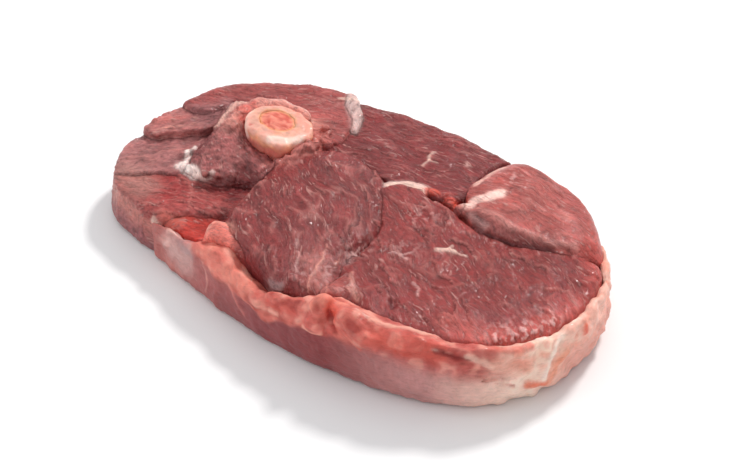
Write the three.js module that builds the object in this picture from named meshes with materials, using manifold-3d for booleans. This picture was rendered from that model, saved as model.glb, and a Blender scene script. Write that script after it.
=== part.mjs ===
// Raw lamb leg steak, cut across the leg: the muscles of the leg in relief round a ring of femur,
// with the outside fat along the front and the right end. Millimetres, +Z up, cut face down.
// The long axis of the steak lies along X and its fat side faces -Y.

import * as THREE from 'three';
import Module from 'manifold-3d';
import { mergeVertices } from 'three/addons/utils/BufferGeometryUtils.js';

const wasm = await Module();
wasm.setup();

// ---- Driving dimensions -------------------------------------------------------------------

const SHIFT = { x: 0.6, y: 1.18 };  // centres the steak's box on the origin
const SKY = 60;                     // above everything, where a cutting solid ends
const GAP = 0.3;                    // between two solids that touch
const WELD = 1e-4;                  // vertices closer than this are one

// The foot of the outer wall in plan, counter-clockwise from the left end.
const OUTLINE = [
  [-88, -1], [-87, -23], [-74, -42], [-44, -48], [-10, -53], [22, -53], [52, -47], [77, -32],
  [87, -6], [84, 14], [73, 31], [54, 44], [28, 49.5], [-4, 51.5], [-34, 46.5], [-60, 36.5], [-82, 20],
];
const BODY_STEPS = 80;         // facets round the steak
const FOOT_TURN = 2;           // how far the foot of the wall turns under
const FOOT_HEIGHT = 2.5;       // and how high that reaches

// The fat runs between these two places round the outline, where 0 and 1 are the left end.
const FAT_START = 0.155;
const FAT_END = 0.61;
const FAT_WIDTH = [
  [0.14, 0], [0.175, 4], [0.235, 6.5], [0.28, 7], [0.325, 10.5], [0.37, 9], [0.42, 5.5],
  [0.5, 4], [0.58, 4], [0.63, 0],
];
const FAT_CREST = [
  [0.14, 13], [0.19, 16.5], [0.215, 19], [0.25, 22], [0.3, 24.5], [0.36, 24.5], [0.43, 22.5],
  [0.5, 21], [0.62, 20.5],
];

// The lean meat's own wall: how bare of fat it is round the outline, and how high it stands.
const BARENESS = [[0, 1], [0.13, 1], [0.16, 0], [0.61, 0], [0.65, 1], [1, 1]];
const WALL_HEIGHT = [
  [0, 15], [0.1, 13], [0.14, 14], [0.17, 30], [0.6, 30], [0.63, 22], [0.66, 21], [0.7, 17.5],
  [0.78, 16.5], [0.85, 19], [0.93, 19], [1, 15],
];
const WALL_LEAN = 1.5;         // how far the bare wall leans in on its way up
const BASE_TOP = 12;           // the floor of the clefts between the muscles

// The bone is a ring of femur that stands proud of the meat, with marrow in it. ridge is how
// much wider the bone is along the ridge down its back, which lies at the angle RIDGE.at.
const BONE = {
  x: -42.5, y: 4.5, long: 12.3, short: 9.6, turn: -0.08, foot: 0, top: 28.5, ridge: 0.12,
};
const MARROW = {
  x: -44, y: 5.3, long: 6.8, short: 5.2, turn: -0.08, foot: 0.2, top: 27.8, ridge: 0,
};
const RIDGE = { at: 5.45, wide: 0.35 };
const RING_STEPS = 36;

// The muscles that show in the cut face, their outlines given clockwise. top is the height of
// the face at the muscle's middle, tilt how much it rises for each millimetre in X and in Y,
// crown how far the middle is domed, edge the radius of its rounded edge, and swell how far its
// side bulges over the cleft.
const MUSCLES = {
  eye: {
    outline: [[-30, -14], [-30, 1], [-23, 11], [-11, 13], [1, 9], [11, 0], [18, -12], [20, -24],
      [13, -36], [0, -40], [-13, -39], [-25, -31]],
    top: 23.5, tilt: [-0.02, 0], crown: 3, edge: 6, swell: 1.5,
  },
  eyeTail: {
    outline: [[-8, -38], [4, -28], [20, -26], [25, -35], [23, -46], [12, -50], [0, -48]],
    top: 22.6, tilt: [0, 0.03], crown: 0.6, edge: 3, swell: 0,
  },
  lobe: {
    outline: [[-24, -46], [-21, -41], [-13, -37.5], [-6, -38.5], [-6, -42], [-12, -46], [-18, -49]],
    top: 19.8, tilt: [0.02, 0], crown: 0.8, edge: 3, swell: 0.5,
  },
  main: {
    outline: [[5, 6], [13, 12], [28, 12], [42, 10.5], [56, 16], [72, 24], [84, 18], [90, 2],
      [88, -16], [80, -30], [66, -38], [48, -42], [32, -45], [24, -36], [20, -24], [16, -9]],
    top: 22.6, tilt: [-0.03, 0], crown: 0.8, edge: 2.5, swell: 0.5,
  },
  backRight: {
    outline: [[-38, 44], [-20, 52], [6, 55], [25, 53], [24, 34], [22, 21], [12, 16], [-2, 9],
      [-14, 12], [-25, 15], [-30, 27]],
    top: 20, tilt: [0.03, -0.1], crown: 0.6, edge: 2.5, swell: 0.5,
  },
  pale: {
    outline: [[23, 38], [26, 48], [50, 52], [66, 46], [78, 32], [74, 22], [64, 15.5], [50, 12],
      [38, 13], [28, 18], [22, 26]],
    top: 24.5, tilt: [-0.06, -0.05], crown: 1.2, edge: 4.5, swell: 2.5,
  },
  seamFat: {
    outline: [[-8, 8], [-5, 13], [4, 18], [12, 17.5], [12, 12], [4, 7]],
    top: 21.8, tilt: [0, 0], crown: 0.5, edge: 1.5, swell: 0,
  },
  redKnot: {
    outline: [[14, 13], [19, 21], [26, 21], [36, 12], [37, 8], [27, 9], [19, 10]],
    top: 19.6, tilt: [0, 0], crown: 0.5, edge: 2, swell: 0,
  },
  backMid: {
    outline: [[-25, 18], [-31, 11], [-44, 13], [-57, 15], [-62, 24], [-58, 38], [-44, 46],
      [-34, 44], [-28, 30]],
    top: 21.5, tilt: [0.01, -0.06], crown: 0.8, edge: 3, swell: 0.5,
  },
  backLeft: {
    outline: [[-55, 15], [-65, 9], [-73, 0], [-82, 1], [-94, 8], [-88, 28], [-66, 42],
      [-52, 40], [-52, 24]],
    top: 21, tilt: [0.06, 0], crown: 0.8, edge: 3, swell: 1,
  },
  ledge: {
    outline: [[-94, -18], [-94, -4], [-82, 5], [-72, 7], [-68, 1], [-71, -8], [-79, -14]],
    top: 17, tilt: [0.08, 0], crown: 0.4, edge: 2, swell: 1.5,
  },
  leftUpper: {
    outline: [[-94, -26], [-84, -13], [-75, -5], [-68, -1], [-62, -7], [-58, -17], [-61, -26],
      [-68, -33], [-78, -43], [-92, -40]],
    top: 15.5, tilt: [0.08, 0], crown: 0.6, edge: 2, swell: 0.5,
  },
  leftLower: {
    outline: [[-82, -48], [-68, -33], [-59, -25], [-48, -22], [-38, -17], [-33, -22], [-35, -31],
      [-42, -38], [-46, -54], [-62, -56]],
    top: 15.5, tilt: [0.06, 0.04], crown: 0.8, edge: 2.5, swell: 0.5,
  },
  boneSide: {
    outline: [[-68, 5], [-62, 10], [-52, 10], [-47, -2], [-40, -7], [-34, -11], [-32, -17],
      [-38, -24], [-48, -26], [-58, -20], [-64, -9]],
    top: 23, tilt: [0.06, 0.16], crown: 0.5, edge: 4, swell: 1.5,
  },
  redLedge: {
    outline: [[-48, -50], [-45, -38], [-38, -29], [-31, -32], [-25, -40], [-30, -48], [-40, -52]],
    top: 14, tilt: [0.08, 0], crown: 0.4, edge: 2, swell: 0,
  },
};
const MUSCLE_STEPS = 32;

// Lumps of the torn crag at the middle of the fat roll.
const LUMPS = [
  { x: 26, y: -45, z: 21.5, long: 5, short: 3, high: 4.2, turn: 0.9 },
  { x: 34, y: -43.5, z: 22, long: 5.5, short: 3.4, high: 3.6, turn: 0.1 },
];
const LUMP_SIDES = [14, 9];

// ---- Materials ----------------------------------------------------------------------------

const lean = new THREE.MeshStandardMaterial({ color: 0x9c4747, roughness: 0.42, metalness: 0 });
const fat = new THREE.MeshStandardMaterial({ color: 0xdb9a86, roughness: 0.38, metalness: 0 });
const cortex = new THREE.MeshStandardMaterial({ color: 0xe8cba8, roughness: 0.5, metalness: 0 });
const pulp = new THREE.MeshStandardMaterial({ color: 0xd9806a, roughness: 0.35, metalness: 0 });

// ---- Curves and values round the steak ----------------------------------------------------

function smoothOutline(points) {
  const corners = points.map(([x, y]) => new THREE.Vector3(x, y, 0));
  return new THREE.CatmullRomCurve3(corners, true, 'centripetal');
}

function centreOf(points) {
  const sum = points.reduce(([sx, sy], [x, y]) => [sx + x, sy + y], [0, 0]);
  return new THREE.Vector3(sum[0] / points.length, sum[1] / points.length, 0);
}

// A value that goes smoothly through [place, value] pairs, in order round the outline.
function around(pairs, place) {
  const next = pairs.findIndex(([to]) => place <= to);
  if (next === 0) return pairs[0][1];
  if (next < 0) return pairs[pairs.length - 1][1];
  const [from, low] = pairs[next - 1];
  const [to, high] = pairs[next];
  return low + (high - low) * THREE.MathUtils.smoothstep(place, from, to);
}

// ---- Solids from bent lathes --------------------------------------------------------------

function toSolid(geometry) {
  const bare = geometry.clone();
  bare.deleteAttribute('normal');
  bare.deleteAttribute('uv');
  const merged = mergeVertices(bare, WELD);
  const corners = [];
  for (let i = 0; i < merged.index.count; i += 3) {
    const [a, b, c] = [0, 1, 2].map((k) => merged.index.getX(i + k));
    if (a !== b && b !== c && c !== a) corners.push(a, b, c);
  }
  const vertProperties = new Float32Array(merged.attributes.position.array);
  const mesh = new wasm.Mesh({ numProp: 3, vertProperties, triVerts: new Uint32Array(corners) });
  return new wasm.Manifold(mesh);
}

function toGeometry(solid) {
  const { vertProperties, triVerts } = solid.getMesh();
  const geometry = new THREE.BufferGeometry();
  geometry.setAttribute('position', new THREE.BufferAttribute(vertProperties, 3));
  geometry.setIndex(new THREE.BufferAttribute(triVerts, 1));
  geometry.computeVertexNormals();
  return geometry;
}

// A closed lathe whose profile is given as stations from the foot of the axis to its top, with
// each vertex then bent to place(station, turn). turn goes from 0 to 1 counter-clockwise.
function bentLathe(stations, steps, place) {
  const onAxis = new Set([0, stations.length - 1]);
  const profile = stations.map((_, i) => new THREE.Vector2(onAxis.has(i) ? 0 : 1, i));
  const geometry = new THREE.LatheGeometry(profile, steps);
  const position = geometry.attributes.position;
  for (let i = 0; i < position.count; i += 1) {
    const station = stations[i % stations.length];
    const turn = (Math.floor(i / stations.length) % steps) / steps;
    const { x, y, z } = place(station, turn);
    position.setXYZ(i, x, y, z);
  }
  return toSolid(geometry);
}

// A solid whose walls follow the steak's outline. A station has inset(place), how far it lies
// inside the outline, height(place), and core, how far it has shrunk towards the middle.
const outline = smoothOutline(OUTLINE);
const middle = centreOf(OUTLINE);

function walled(stations) {
  return bentLathe(stations, BODY_STEPS, ({ inset = () => 0, height, core = 0 }, turn) => {
    const edge = outline.getPointAt(turn);
    const along = outline.getTangentAt(turn);
    const inward = new THREE.Vector3(-along.y, along.x, 0);
    const point = edge.addScaledVector(inward, inset(turn)).lerp(middle, core);
    return point.setZ(height(turn));
  });
}

// ---- Lean meat ----------------------------------------------------------------------------

const EDGE_ANGLES = [0, 30, 60, 90].map(THREE.MathUtils.degToRad);
const CROWN_RINGS = [0.35, 0.7];

function muscle({ outline: points, top, tilt, crown, edge, swell }) {
  const rim = smoothOutline(points);
  const heart = centreOf(points);
  const stations = [
    { inset: 0, drop: top, core: 1 },
    { inset: swell, drop: top, core: 0 },
    { inset: swell, drop: edge + 2 * swell, core: 0 },
    ...EDGE_ANGLES.map((angle) => ({
      inset: edge * (1 - Math.cos(angle)),
      drop: edge * (1 - Math.sin(angle)),
      core: 0,
    })),
    ...CROWN_RINGS.map((core) => ({ inset: edge, drop: 0, core })),
    { inset: 0, drop: 0, core: 1 },
  ];
  return bentLathe(stations, MUSCLE_STEPS, ({ inset, drop, core }, turn) => {
    const point = rim.getPointAt(1 - turn);
    const toHeart = heart.clone().sub(point).normalize();
    point.addScaledVector(toHeart, inset).lerp(heart, core);
    const rise = tilt[0] * (point.x - heart.x) + tilt[1] * (point.y - heart.y);
    const dome = crown * core * (2 - core);
    const footed = drop === top ? 1 : top + rise + dome - drop;
    return point.setZ(footed);
  });
}

const fatWidth = (place) => around(FAT_WIDTH, place);
const leanInset = (place) => fatWidth(place) + GAP;
const wallHeight = (place) => around(WALL_HEIGHT, place);
const bareness = (place) => around(BARENESS, place);
const wallInset = (place, leans) => leanInset(place) + leans * WALL_LEAN * bareness(place);

const envelope = walled([
  { height: () => 0, core: 1 },
  { inset: (p) => leanInset(p) + FOOT_TURN * bareness(p), height: () => 0 },
  { inset: leanInset, height: () => FOOT_HEIGHT },
  { inset: (p) => wallInset(p, 0.3), height: (p) => 0.6 * wallHeight(p) },
  { inset: (p) => wallInset(p, 1), height: (p) => wallHeight(p) - 1 },
  { inset: (p) => wallInset(p, 2), height: (p) => wallHeight(p) + 0.6 },
  { height: () => SKY, core: 0.3 },
  { height: () => SKY, core: 1 },
]);

const baseSlab = walled([
  { height: () => 0, core: 1 },
  { height: () => 0 },
  { height: () => BASE_TOP },
  { height: () => BASE_TOP, core: 1 },
]);

// ---- Bone and marrow ----------------------------------------------------------------------

const UP = new THREE.Vector3(0, 0, 1);

// An upright oval post; grow widens it all round and its top edge is rounded by round.
function oval(post, foot, top, { grow = 0, round = 0, crown = 0 } = {}) {
  const { x, y, long, short, turn: yaw, ridge } = post;
  const stations = [
    { out: 0, z: foot },
    { out: 1, shrink: 0, z: foot },
    { out: 1, shrink: 0, z: top - round },
    { out: 1, shrink: round * 0.3, z: top - round * 0.3 },
    { out: 1, shrink: round, z: top },
    { out: 0, z: top + crown },
  ];
  return bentLathe(stations, RING_STEPS, ({ out, shrink = 0, z }, turn) => {
    const angle = 2 * Math.PI * turn;
    const reach = out * (1 + ridge * Math.exp(-(((angle - RIDGE.at) / RIDGE.wide) ** 2)));
    const point = new THREE.Vector3(
      reach * (long + grow - shrink) * Math.cos(angle),
      reach * (short + grow - shrink) * Math.sin(angle),
      z,
    );
    return point.applyAxisAngle(UP, yaw).add(new THREE.Vector3(x, y, 0));
  });
}

// ---- Outside fat --------------------------------------------------------------------------

const fatCrest = (place) => around(FAT_CREST, place);

// Each entry is a share of the fat's width in from the foot, and a share of its crest's height.
const FAT_PROFILE = [
  [0, 0.12], [0.1, 0.45], [0.22, 0.7], [0.38, 0.9], [0.6, 1], [0.85, 0.98], [1.1, 0.92],
];

const fatShell = walled([
  { height: () => 0, core: 1 },
  { inset: () => FOOT_TURN, height: () => 0 },
  ...FAT_PROFILE.map(([across, up]) => ({
    inset: (p) => across * fatWidth(p),
    height: (p) => up * fatCrest(p),
  })),
  { height: () => BASE_TOP, core: 1 },
]);

const fatInside = walled([
  { height: () => -1, core: 1 },
  { inset: fatWidth, height: () => -1 },
  { inset: fatWidth, height: () => SKY },
  { height: () => SKY, core: 1 },
]);

// A wedge from the middle of the steak out past the stretch of wall that the fat covers.
function fatWedge() {
  const steps = 24;
  const reach = 1.4;
  const rim = Array.from({ length: steps + 1 }, (_, i) => {
    const place = THREE.MathUtils.lerp(FAT_START, FAT_END, i / steps);
    return outline.getPointAt(place).sub(middle).multiplyScalar(reach).add(middle);
  });
  const shape = new THREE.Shape([middle, ...rim].map(({ x, y }) => new THREE.Vector2(x, y)));
  const wedge = new THREE.ExtrudeGeometry(shape, { depth: SKY, bevelEnabled: false });
  return toSolid(wedge.translate(0, 0, -1));
}

function lump({ x, y, z, long, short, high, turn }) {
  const ball = new THREE.SphereGeometry(1, ...LUMP_SIDES).rotateX(Math.PI / 2);
  return toSolid(ball.scale(long, short, high).rotateZ(turn).translate(x, y, z));
}

// ---- Assembly -----------------------------------------------------------------------------

const steak = new THREE.Group();

function addNode(name, solid, material) {
  const mesh = new THREE.Mesh(toGeometry(solid), material);
  mesh.name = name;
  steak.add(mesh);
}

const muscles = Object.values(MUSCLES).map(muscle);
const boneHole = oval(BONE, -1, SKY, { grow: GAP });
const meat = muscles.reduce((whole, each) => whole.add(each), baseSlab)
  .intersect(envelope)
  .subtract(boneHole);
addNode('meat', meat, lean);

const fatRoll = LUMPS.reduce((whole, each) => whole.add(lump(each)), fatShell)
  .subtract(fatInside)
  .intersect(fatWedge());
addNode('outer_fat', fatRoll, fat);

const marrowHole = oval(MARROW, -1, SKY, { grow: GAP });
addNode('bone', oval(BONE, BONE.foot, BONE.top, { round: 1.4 }).subtract(marrowHole), cortex);
addNode('marrow', oval(MARROW, MARROW.foot, MARROW.top, { round: 0.6, crown: 0.4 }), pulp);

steak.position.set(SHIFT.x, SHIFT.y, 0);

export default steak;
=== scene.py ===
"""Raw lamb leg steak: the muscles, the roll of outside fat, the ring of bone and its marrow.

Shapes are worked out in millimetres as distance fields, whose surfaces become the pieces.
A field is below zero inside the solid. The steak lies on its lower cut face, +Z up.
"""

import math

import bpy
import numpy as np
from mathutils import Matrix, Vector


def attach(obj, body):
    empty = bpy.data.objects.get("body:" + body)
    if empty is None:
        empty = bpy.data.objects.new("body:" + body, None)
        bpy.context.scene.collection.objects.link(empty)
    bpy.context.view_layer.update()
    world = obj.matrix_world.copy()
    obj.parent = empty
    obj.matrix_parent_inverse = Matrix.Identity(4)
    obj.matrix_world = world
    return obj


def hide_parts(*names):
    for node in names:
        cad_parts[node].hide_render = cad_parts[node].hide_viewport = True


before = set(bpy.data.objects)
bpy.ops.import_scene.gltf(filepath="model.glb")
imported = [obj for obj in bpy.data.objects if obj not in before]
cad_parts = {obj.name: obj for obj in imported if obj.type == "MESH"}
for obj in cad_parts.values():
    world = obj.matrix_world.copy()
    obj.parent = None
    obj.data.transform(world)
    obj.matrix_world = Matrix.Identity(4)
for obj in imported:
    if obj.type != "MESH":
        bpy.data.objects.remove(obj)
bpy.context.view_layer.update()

# ---- Sizes, in millimetres ------------------------------------------------------------------

MM = 0.001
SHIFT = np.array([0.6, 1.18, 0.0])   # centres the steak's box on the origin
STEP = 0.5                           # of the lattice that the fields are worked out on
LATTICE_LOW = np.array([-91.0, -56.0, -1.0])
LATTICE_HIGH = np.array([90.5, 54.0, 29.0])
PLAN_WARP = ((12.0, 0.9), (4.5, 0.4))   # size and reach of the waver in the muscles' outlines

# The outline in plan, from the left end round the front. The tables that follow give values at
# places round it, from 0 at its first corner to 1.
OUTLINE = [
    [-88, -1], [-87, -23], [-74, -42], [-44, -48], [-10, -53], [22, -53], [52, -47],
    [77, -32], [87, -6], [84, 14], [73, 31], [54, 44], [28, 49.5], [-4, 51.5], [-34, 46.5],
    [-60, 36.5], [-82, 20],
]
ROUND = 440            # length of the outline
FAT_START, FAT_END = 0.155, 0.61   # places where the outside fat begins and ends
FAT_END_FADE = 0.024               # the stretch in which its first end turns red
# The fat's width, the height of its crest, and how far it dips from there to its inner side.
FAT_WIDTH = [
    [0.14, 0], [0.175, 4], [0.2, 6], [0.22, 8.5], [0.24, 8.5], [0.26, 7.5], [0.28, 6], [0.3, 7],
    [0.33, 11.5], [0.36, 10], [0.39, 8.5], [0.42, 7], [0.45, 5.5], [0.475, 4.6], [0.5, 4.2],
    [0.53, 3.6], [0.56, 2.9], [0.585, 2.2], [0.605, 1.3], [0.63, 0],
]
FAT_CREST = [
    [0.14, 13], [0.19, 15], [0.205, 17.4], [0.225, 18.8], [0.245, 17.4], [0.262, 16.6],
    [0.285, 18.5], [0.31, 22.5], [0.34, 24.3], [0.38, 24], [0.43, 22.4], [0.475, 20.6],
    [0.5, 19.6], [0.62, 18.5],
]
FAT_DIP = [
    [0.14, 1], [0.19, 1.2], [0.22, 0.3], [0.24, 1.0], [0.262, 2.4], [0.285, 2], [0.31, 0.8],
    [0.35, 1.2], [0.42, 0.6], [0.5, 0], [0.6, 0.2],
]
# The crest's share that the fat reaches at each share of its width, from the outside.
FAT_PROFILE = [[0, 0.12], [0.1, 0.5], [0.2, 0.74], [0.34, 0.93], [0.5, 1], [1.1, 1]]
# The radius of the meat's outer edge, and whether the wall is bare meat (1) or fat (0).
MEAT_EDGE = [[0, 1.2], [0.4, 1.2], [0.46, 2.8], [0.6, 2.8], [0.66, 1.2], [1, 1.2]]
BARENESS = [[0, 1], [0.13, 1], [0.16, 0], [0.61, 0], [0.65, 1], [1, 1]]
# How far the outer wall leans in from its foot to its top, and how far and to what height its
# foot turns in.
WALL_LEAN = [
    [0, 4.6], [0.03, 3.5], [0.06, 1.5], [0.12, 1.5], [0.65, 1.5], [0.9, 2.0], [0.95, 4.2], [1, 4.6],
]
FOOT_REACH = [[0, 2], [0.28, 2], [0.36, 4.5], [0.5, 5], [0.58, 4], [0.64, 2], [1, 2]]
FOOT_HEIGHT = [[0, 3], [0.28, 4], [0.36, 10], [0.5, 13], [0.58, 10], [0.64, 3], [1, 3]]
# Height of the lower edge of the salmon band round the outline, and how far the wall under it
# stands back.
BAND_FOOT = [
    [0.15, 15], [0.2, 14], [0.235, 13], [0.257, 12], [0.28, 9.5], [0.295, 12], [0.309, 14.2],
    [0.325, 15.5], [0.365, 17], [0.4, 15.5], [0.43, 13], [0.5, 12],
]
BAND_STEP = [[0.18, 0], [0.22, 0.5], [0.26, 1.1], [0.36, 1.1], [0.42, 0.5], [0.46, 0]]
BASE_TOP = 12          # the meat is one block up to here, and muscles above it
# Heights of the undersides, set apart so that no two lie in one plane.
MEAT_FOOT, FAT_FOOT, BONE_FOOT, MARROW_FOOT = 0.1, 0.05, 0.05, 0.02
BONE_GAP = 0.25        # between the meat and the bone
FAT_TUCK = 0.5         # how far the fat reaches in under the meat's edge

# Quality of the meshes.
POST_STEP = 0.4        # of the lattices for bone and marrow
HIDDEN_KEEP = 0.12     # share of the faces that stays where nothing shows
# Nothing shows below these heights, nor this far below the border of the cut face where meat
# and fat lie against each other.
MEAT_HIDDEN, FAT_HIDDEN, HOLE_HIDDEN, BONE_HIDDEN, MARROW_HIDDEN = 0.4, 0.3, 14, 12, 24
CONTACT_DEPTH = 3
STILL_FOOT = (0.2, 0.9)   # heights between which relief sets in
MOST_TRIANGLES = 184000   # that thinning leaves in one piece

# Each muscle that shows in the cut face: its outline in plan, the height of its face at its
# middle, how much that rises for each millimetre in X and Y, how far the middle is domed, the
# radius of its edge, how far its side swells over the cleft, the sRGB colour of its face, the
# direction of its fibres in degrees from +X, how silvery with connective tissue it is, and how
# high its creases and its crumbs are.
MUSCLES = {
    "eye": dict(
        outline=[[-32, -10], [-29.5, -22], [-25.5, -35], [-20.5, -41], [-14.5, -44], [-1, -46.5],
            [6, -49], [14, -48], [21, -44.5], [23.5, -39], [21, -32], [15.5, -25.5], [18, -19],
            [15, -7], [5.5, 5.5], [-8.5, 13], [-21, 13], [-29, 8], [-33, -1]],
        top=23.0, tilt=[-0.02, 0.02], crown=3, edge=3.6, swell=1.5, colour=(128, 49, 48), grain=-34,
        silver=0.8, crease=0.5, crumb=0.06),
    "lobe": dict(
        outline=[[-27, -47], [-28, -41], [-24.5, -37.5], [-18, -36.5], [-12, -39], [-8, -43],
            [-8, -47], [-14, -50], [-21, -50]],
        top=20.4, tilt=[-0.12, 0.06], crown=1.2, edge=3.2, swell=0.8, colour=(238, 130, 116),
        grain=20, silver=0.1, crease=0.1, crumb=0.1),
    "main": dict(
        outline=[[2.5, 5], [4.5, 10], [10, 13], [17, 13], [28, 12], [42, 10.5], [56, 16], [72, 24],
            [84, 18], [90, 2], [88, -16], [80, -30], [66, -38], [48, -42], [32, -46], [24, -42],
            [22, -34], [20, -24], [16, -9]],
        top=22.6, tilt=[-0.03, 0], crown=0.8, edge=1.3, swell=0.5, colour=(136, 50, 48), grain=-24,
        silver=0.35, crease=0.6, crumb=0.06),
    "back_right": dict(
        outline=[[-42, 43], [-35.5, 35], [-30.5, 28.5], [-28.5, 20], [-26, 13], [-10, 14], [0, 13],
            [6, 18], [17, 16], [21.5, 22.5], [17, 34], [16, 46], [24, 56], [6, 58], [-20, 54]],
        top=20, tilt=[0.03, -0.1], crown=0.6, edge=1.0, swell=0.5, colour=(124, 44, 44), grain=12,
        silver=0.15, crease=0.25, crumb=0.1),
    "pale": dict(
        outline=[[28, 17.5], [22.5, 24], [21, 32], [22, 44], [30, 53], [52, 54], [70, 47], [79, 34],
            [71.5, 28.5], [62, 19], [51, 14.5], [40, 11.5], [33, 13.5]],
        top=24.5, tilt=[-0.06, -0.05], crown=1.2, edge=4.0, swell=2.5, colour=(170, 80, 74),
        grain=2, silver=0.55, crease=0.2, crumb=0.06),
    "seam_fat": dict(
        outline=[[-1.5, 8], [0, 12.5], [4, 16.5], [9, 17.5], [12.5, 16.5], [11, 13.5], [5.6, 12.3],
            [2.5, 8.5]],
        top=21.8, tilt=[0, 0], crown=0.5, edge=1.0, swell=0, colour=(222, 180, 170), grain=30,
        silver=0, crease=0.1, crumb=0.1),
    "red_knot": dict(
        outline=[[14, 13], [19, 21], [26, 21], [36, 12], [37, 8], [27, 9], [19, 10]],
        top=19.6, tilt=[0, 0], crown=0.5, edge=1.0, swell=0, colour=(190, 70, 58), grain=0,
        silver=0, crease=0.1, crumb=0.3),
    "back": dict(
        outline=[[-77, -1], [-73, 1], [-71, 7], [-70, 12], [-64, 13.5], [-58, 15], [-48, 17],
            [-40, 15], [-33, 14.5], [-28, 17], [-29.5, 22], [-34, 28.5], [-42, 35], [-46, 50],
            [-62, 44], [-84, 30], [-93, 12], [-90, 2]],
        top=21.2, tilt=[0.02, -0.03], crown=0.9, edge=1.2, swell=0, colour=(152, 70, 67), grain=30,
        silver=0.3, crease=0.3, crumb=0.1),
    "fat_strip": dict(
        outline=[[-48, 44], [-41, 41], [-35.5, 36.5], [-30.5, 30], [-28, 25], [-30.5, 24.5],
            [-36, 29.5], [-43, 36]],
        top=21.0, tilt=[-0.02, -0.02], crown=0.6, edge=1.0, swell=0, colour=(204, 170, 164),
        grain=-50, silver=0, crease=0.2, crumb=0.05),
    "ledge": dict(
        outline=[[-94, -12], [-79, -16.5], [-76, -13], [-72, -8], [-68, -2], [-69, 5], [-72, 11],
            [-75, 8], [-76, 3], [-81, 2], [-92, 2]],
        top=19.0, tilt=[0.06, 0], crown=0.3, edge=1.0, swell=0, colour=(180, 108, 104), grain=50,
        silver=0.4, crease=0.2, crumb=0.35),
    "left_upper": dict(
        outline=[[-75, -37.5], [-68.5, -33], [-63, -28], [-59, -24], [-60, -19], [-63.5, -13],
            [-65, -6], [-68, 0], [-72, -2], [-77, -7], [-82, -13], [-94, -14], [-96, -26],
            [-88, -38]],
        top=15.7, tilt=[0.08, 0], crown=0.6, edge=0.8, swell=0.3, colour=(166, 104, 102), grain=52,
        silver=0.7, crease=0.1, crumb=0.3),
    "left_lower": dict(
        outline=[[-77, -37], [-70, -32], [-64.5, -27], [-60, -23.5], [-49, -21], [-42, -17],
            [-36, -14], [-33, -20], [-32, -29], [-37, -33.5], [-43, -38], [-46, -44], [-46, -54],
            [-60, -58], [-78, -52]],
        top=15.6, tilt=[0.06, 0.04], crown=0.8, edge=1.2, swell=0.5, colour=(160, 70, 67), grain=23,
        silver=0.5, crease=0.4, crumb=0.22),
    "bone_side": dict(
        outline=[[-68.5, 8], [-66.5, 2], [-63, -5], [-61, -13], [-59, -19], [-55, -22.5],
            [-47, -22], [-40, -19], [-35, -15], [-32, -10], [-35, -6], [-48, -3], [-56, 4],
            [-58, 12], [-64, 11]],
        top=22.2, tilt=[0.04, 0.15], crown=0.8, edge=2.4, swell=1.5, colour=(158, 88, 86),
        grain=-20, silver=0.6, crease=0.15, crumb=0.55),
    "red_ledge": dict(
        outline=[[-46, -50], [-45.5, -40], [-43, -36], [-39, -31], [-35, -28.5], [-29, -31],
            [-25.5, -36], [-27, -39], [-25.5, -43], [-27, -49], [-34, -52]],
        top=14.6, tilt=[0.04, 0.06], crown=0.4, edge=1.2, swell=0, colour=(182, 56, 46), grain=20,
        silver=0, crease=0.1, crumb=0.1),
}
# How far muscles reach on under their neighbours, so that the seam is a step and not a cleft.
TUCK = {"ledge": 1.6, "left_upper": 1.3, "left_lower": 1.3, "red_ledge": 1.2, "back": 1.0,
        "back_right": 0.7, "main": 0.5, "bone_side": 0.4, "lobe": 0.8, "red_knot": 1.0,
        "seam_fat": 0.5}
MUSCLE_JOIN = 0.7      # how softly the muscles run into each other
ROOF_JOIN = 2.5        # how softly their faces run down to the border
SEAM_BLEND = 0.25      # how softly their colours meet

# The height of the cut face at its border and how steeply it rises inwards, round the outline.
ROOF = [
    [0, 15.6], [0.1, 13.6], [0.14, 13], [0.17, 12.5], [0.19, 14], [0.21, 20], [0.25, 20.5],
    [0.28, 20.5], [0.305, 20.5], [0.33, 22], [0.37, 22.6], [0.42, 22], [0.46, 21], [0.52, 20.2],
    [0.6, 20.2], [0.63, 21.5], [0.66, 21], [0.7, 18], [0.78, 17], [0.85, 18.6], [0.92, 17.4],
    [1, 15.6],
]
ROOF_SLOPE = [[0, 1.2], [0.14, 1.6], [0.33, 1.4], [0.6, 1.4], [0.66, 2.2], [0.85, 2.0],
              [0.93, 0.9], [1, 1.0]]

BONE = dict(x=-42.5, y=4.5, long=12.3, short=9.6, turn=-0.08, top=28.5, ridge=0.12)
MARROW = dict(x=-44, y=5.3, long=6.8, short=5.2, turn=-0.08, top=28.0, ridge=0)
RIDGE_AT, RIDGE_WIDE = 5.45, 0.35    # radians round the ring
BONE_TAPER = 0.9
POST_LOW, POST_HIGH = (-58, -11, -1), (-26, 18, 30)
PLUG_LOW, PLUG_HIGH = (-53, -3, -1), (-34, 13, 30)

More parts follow.
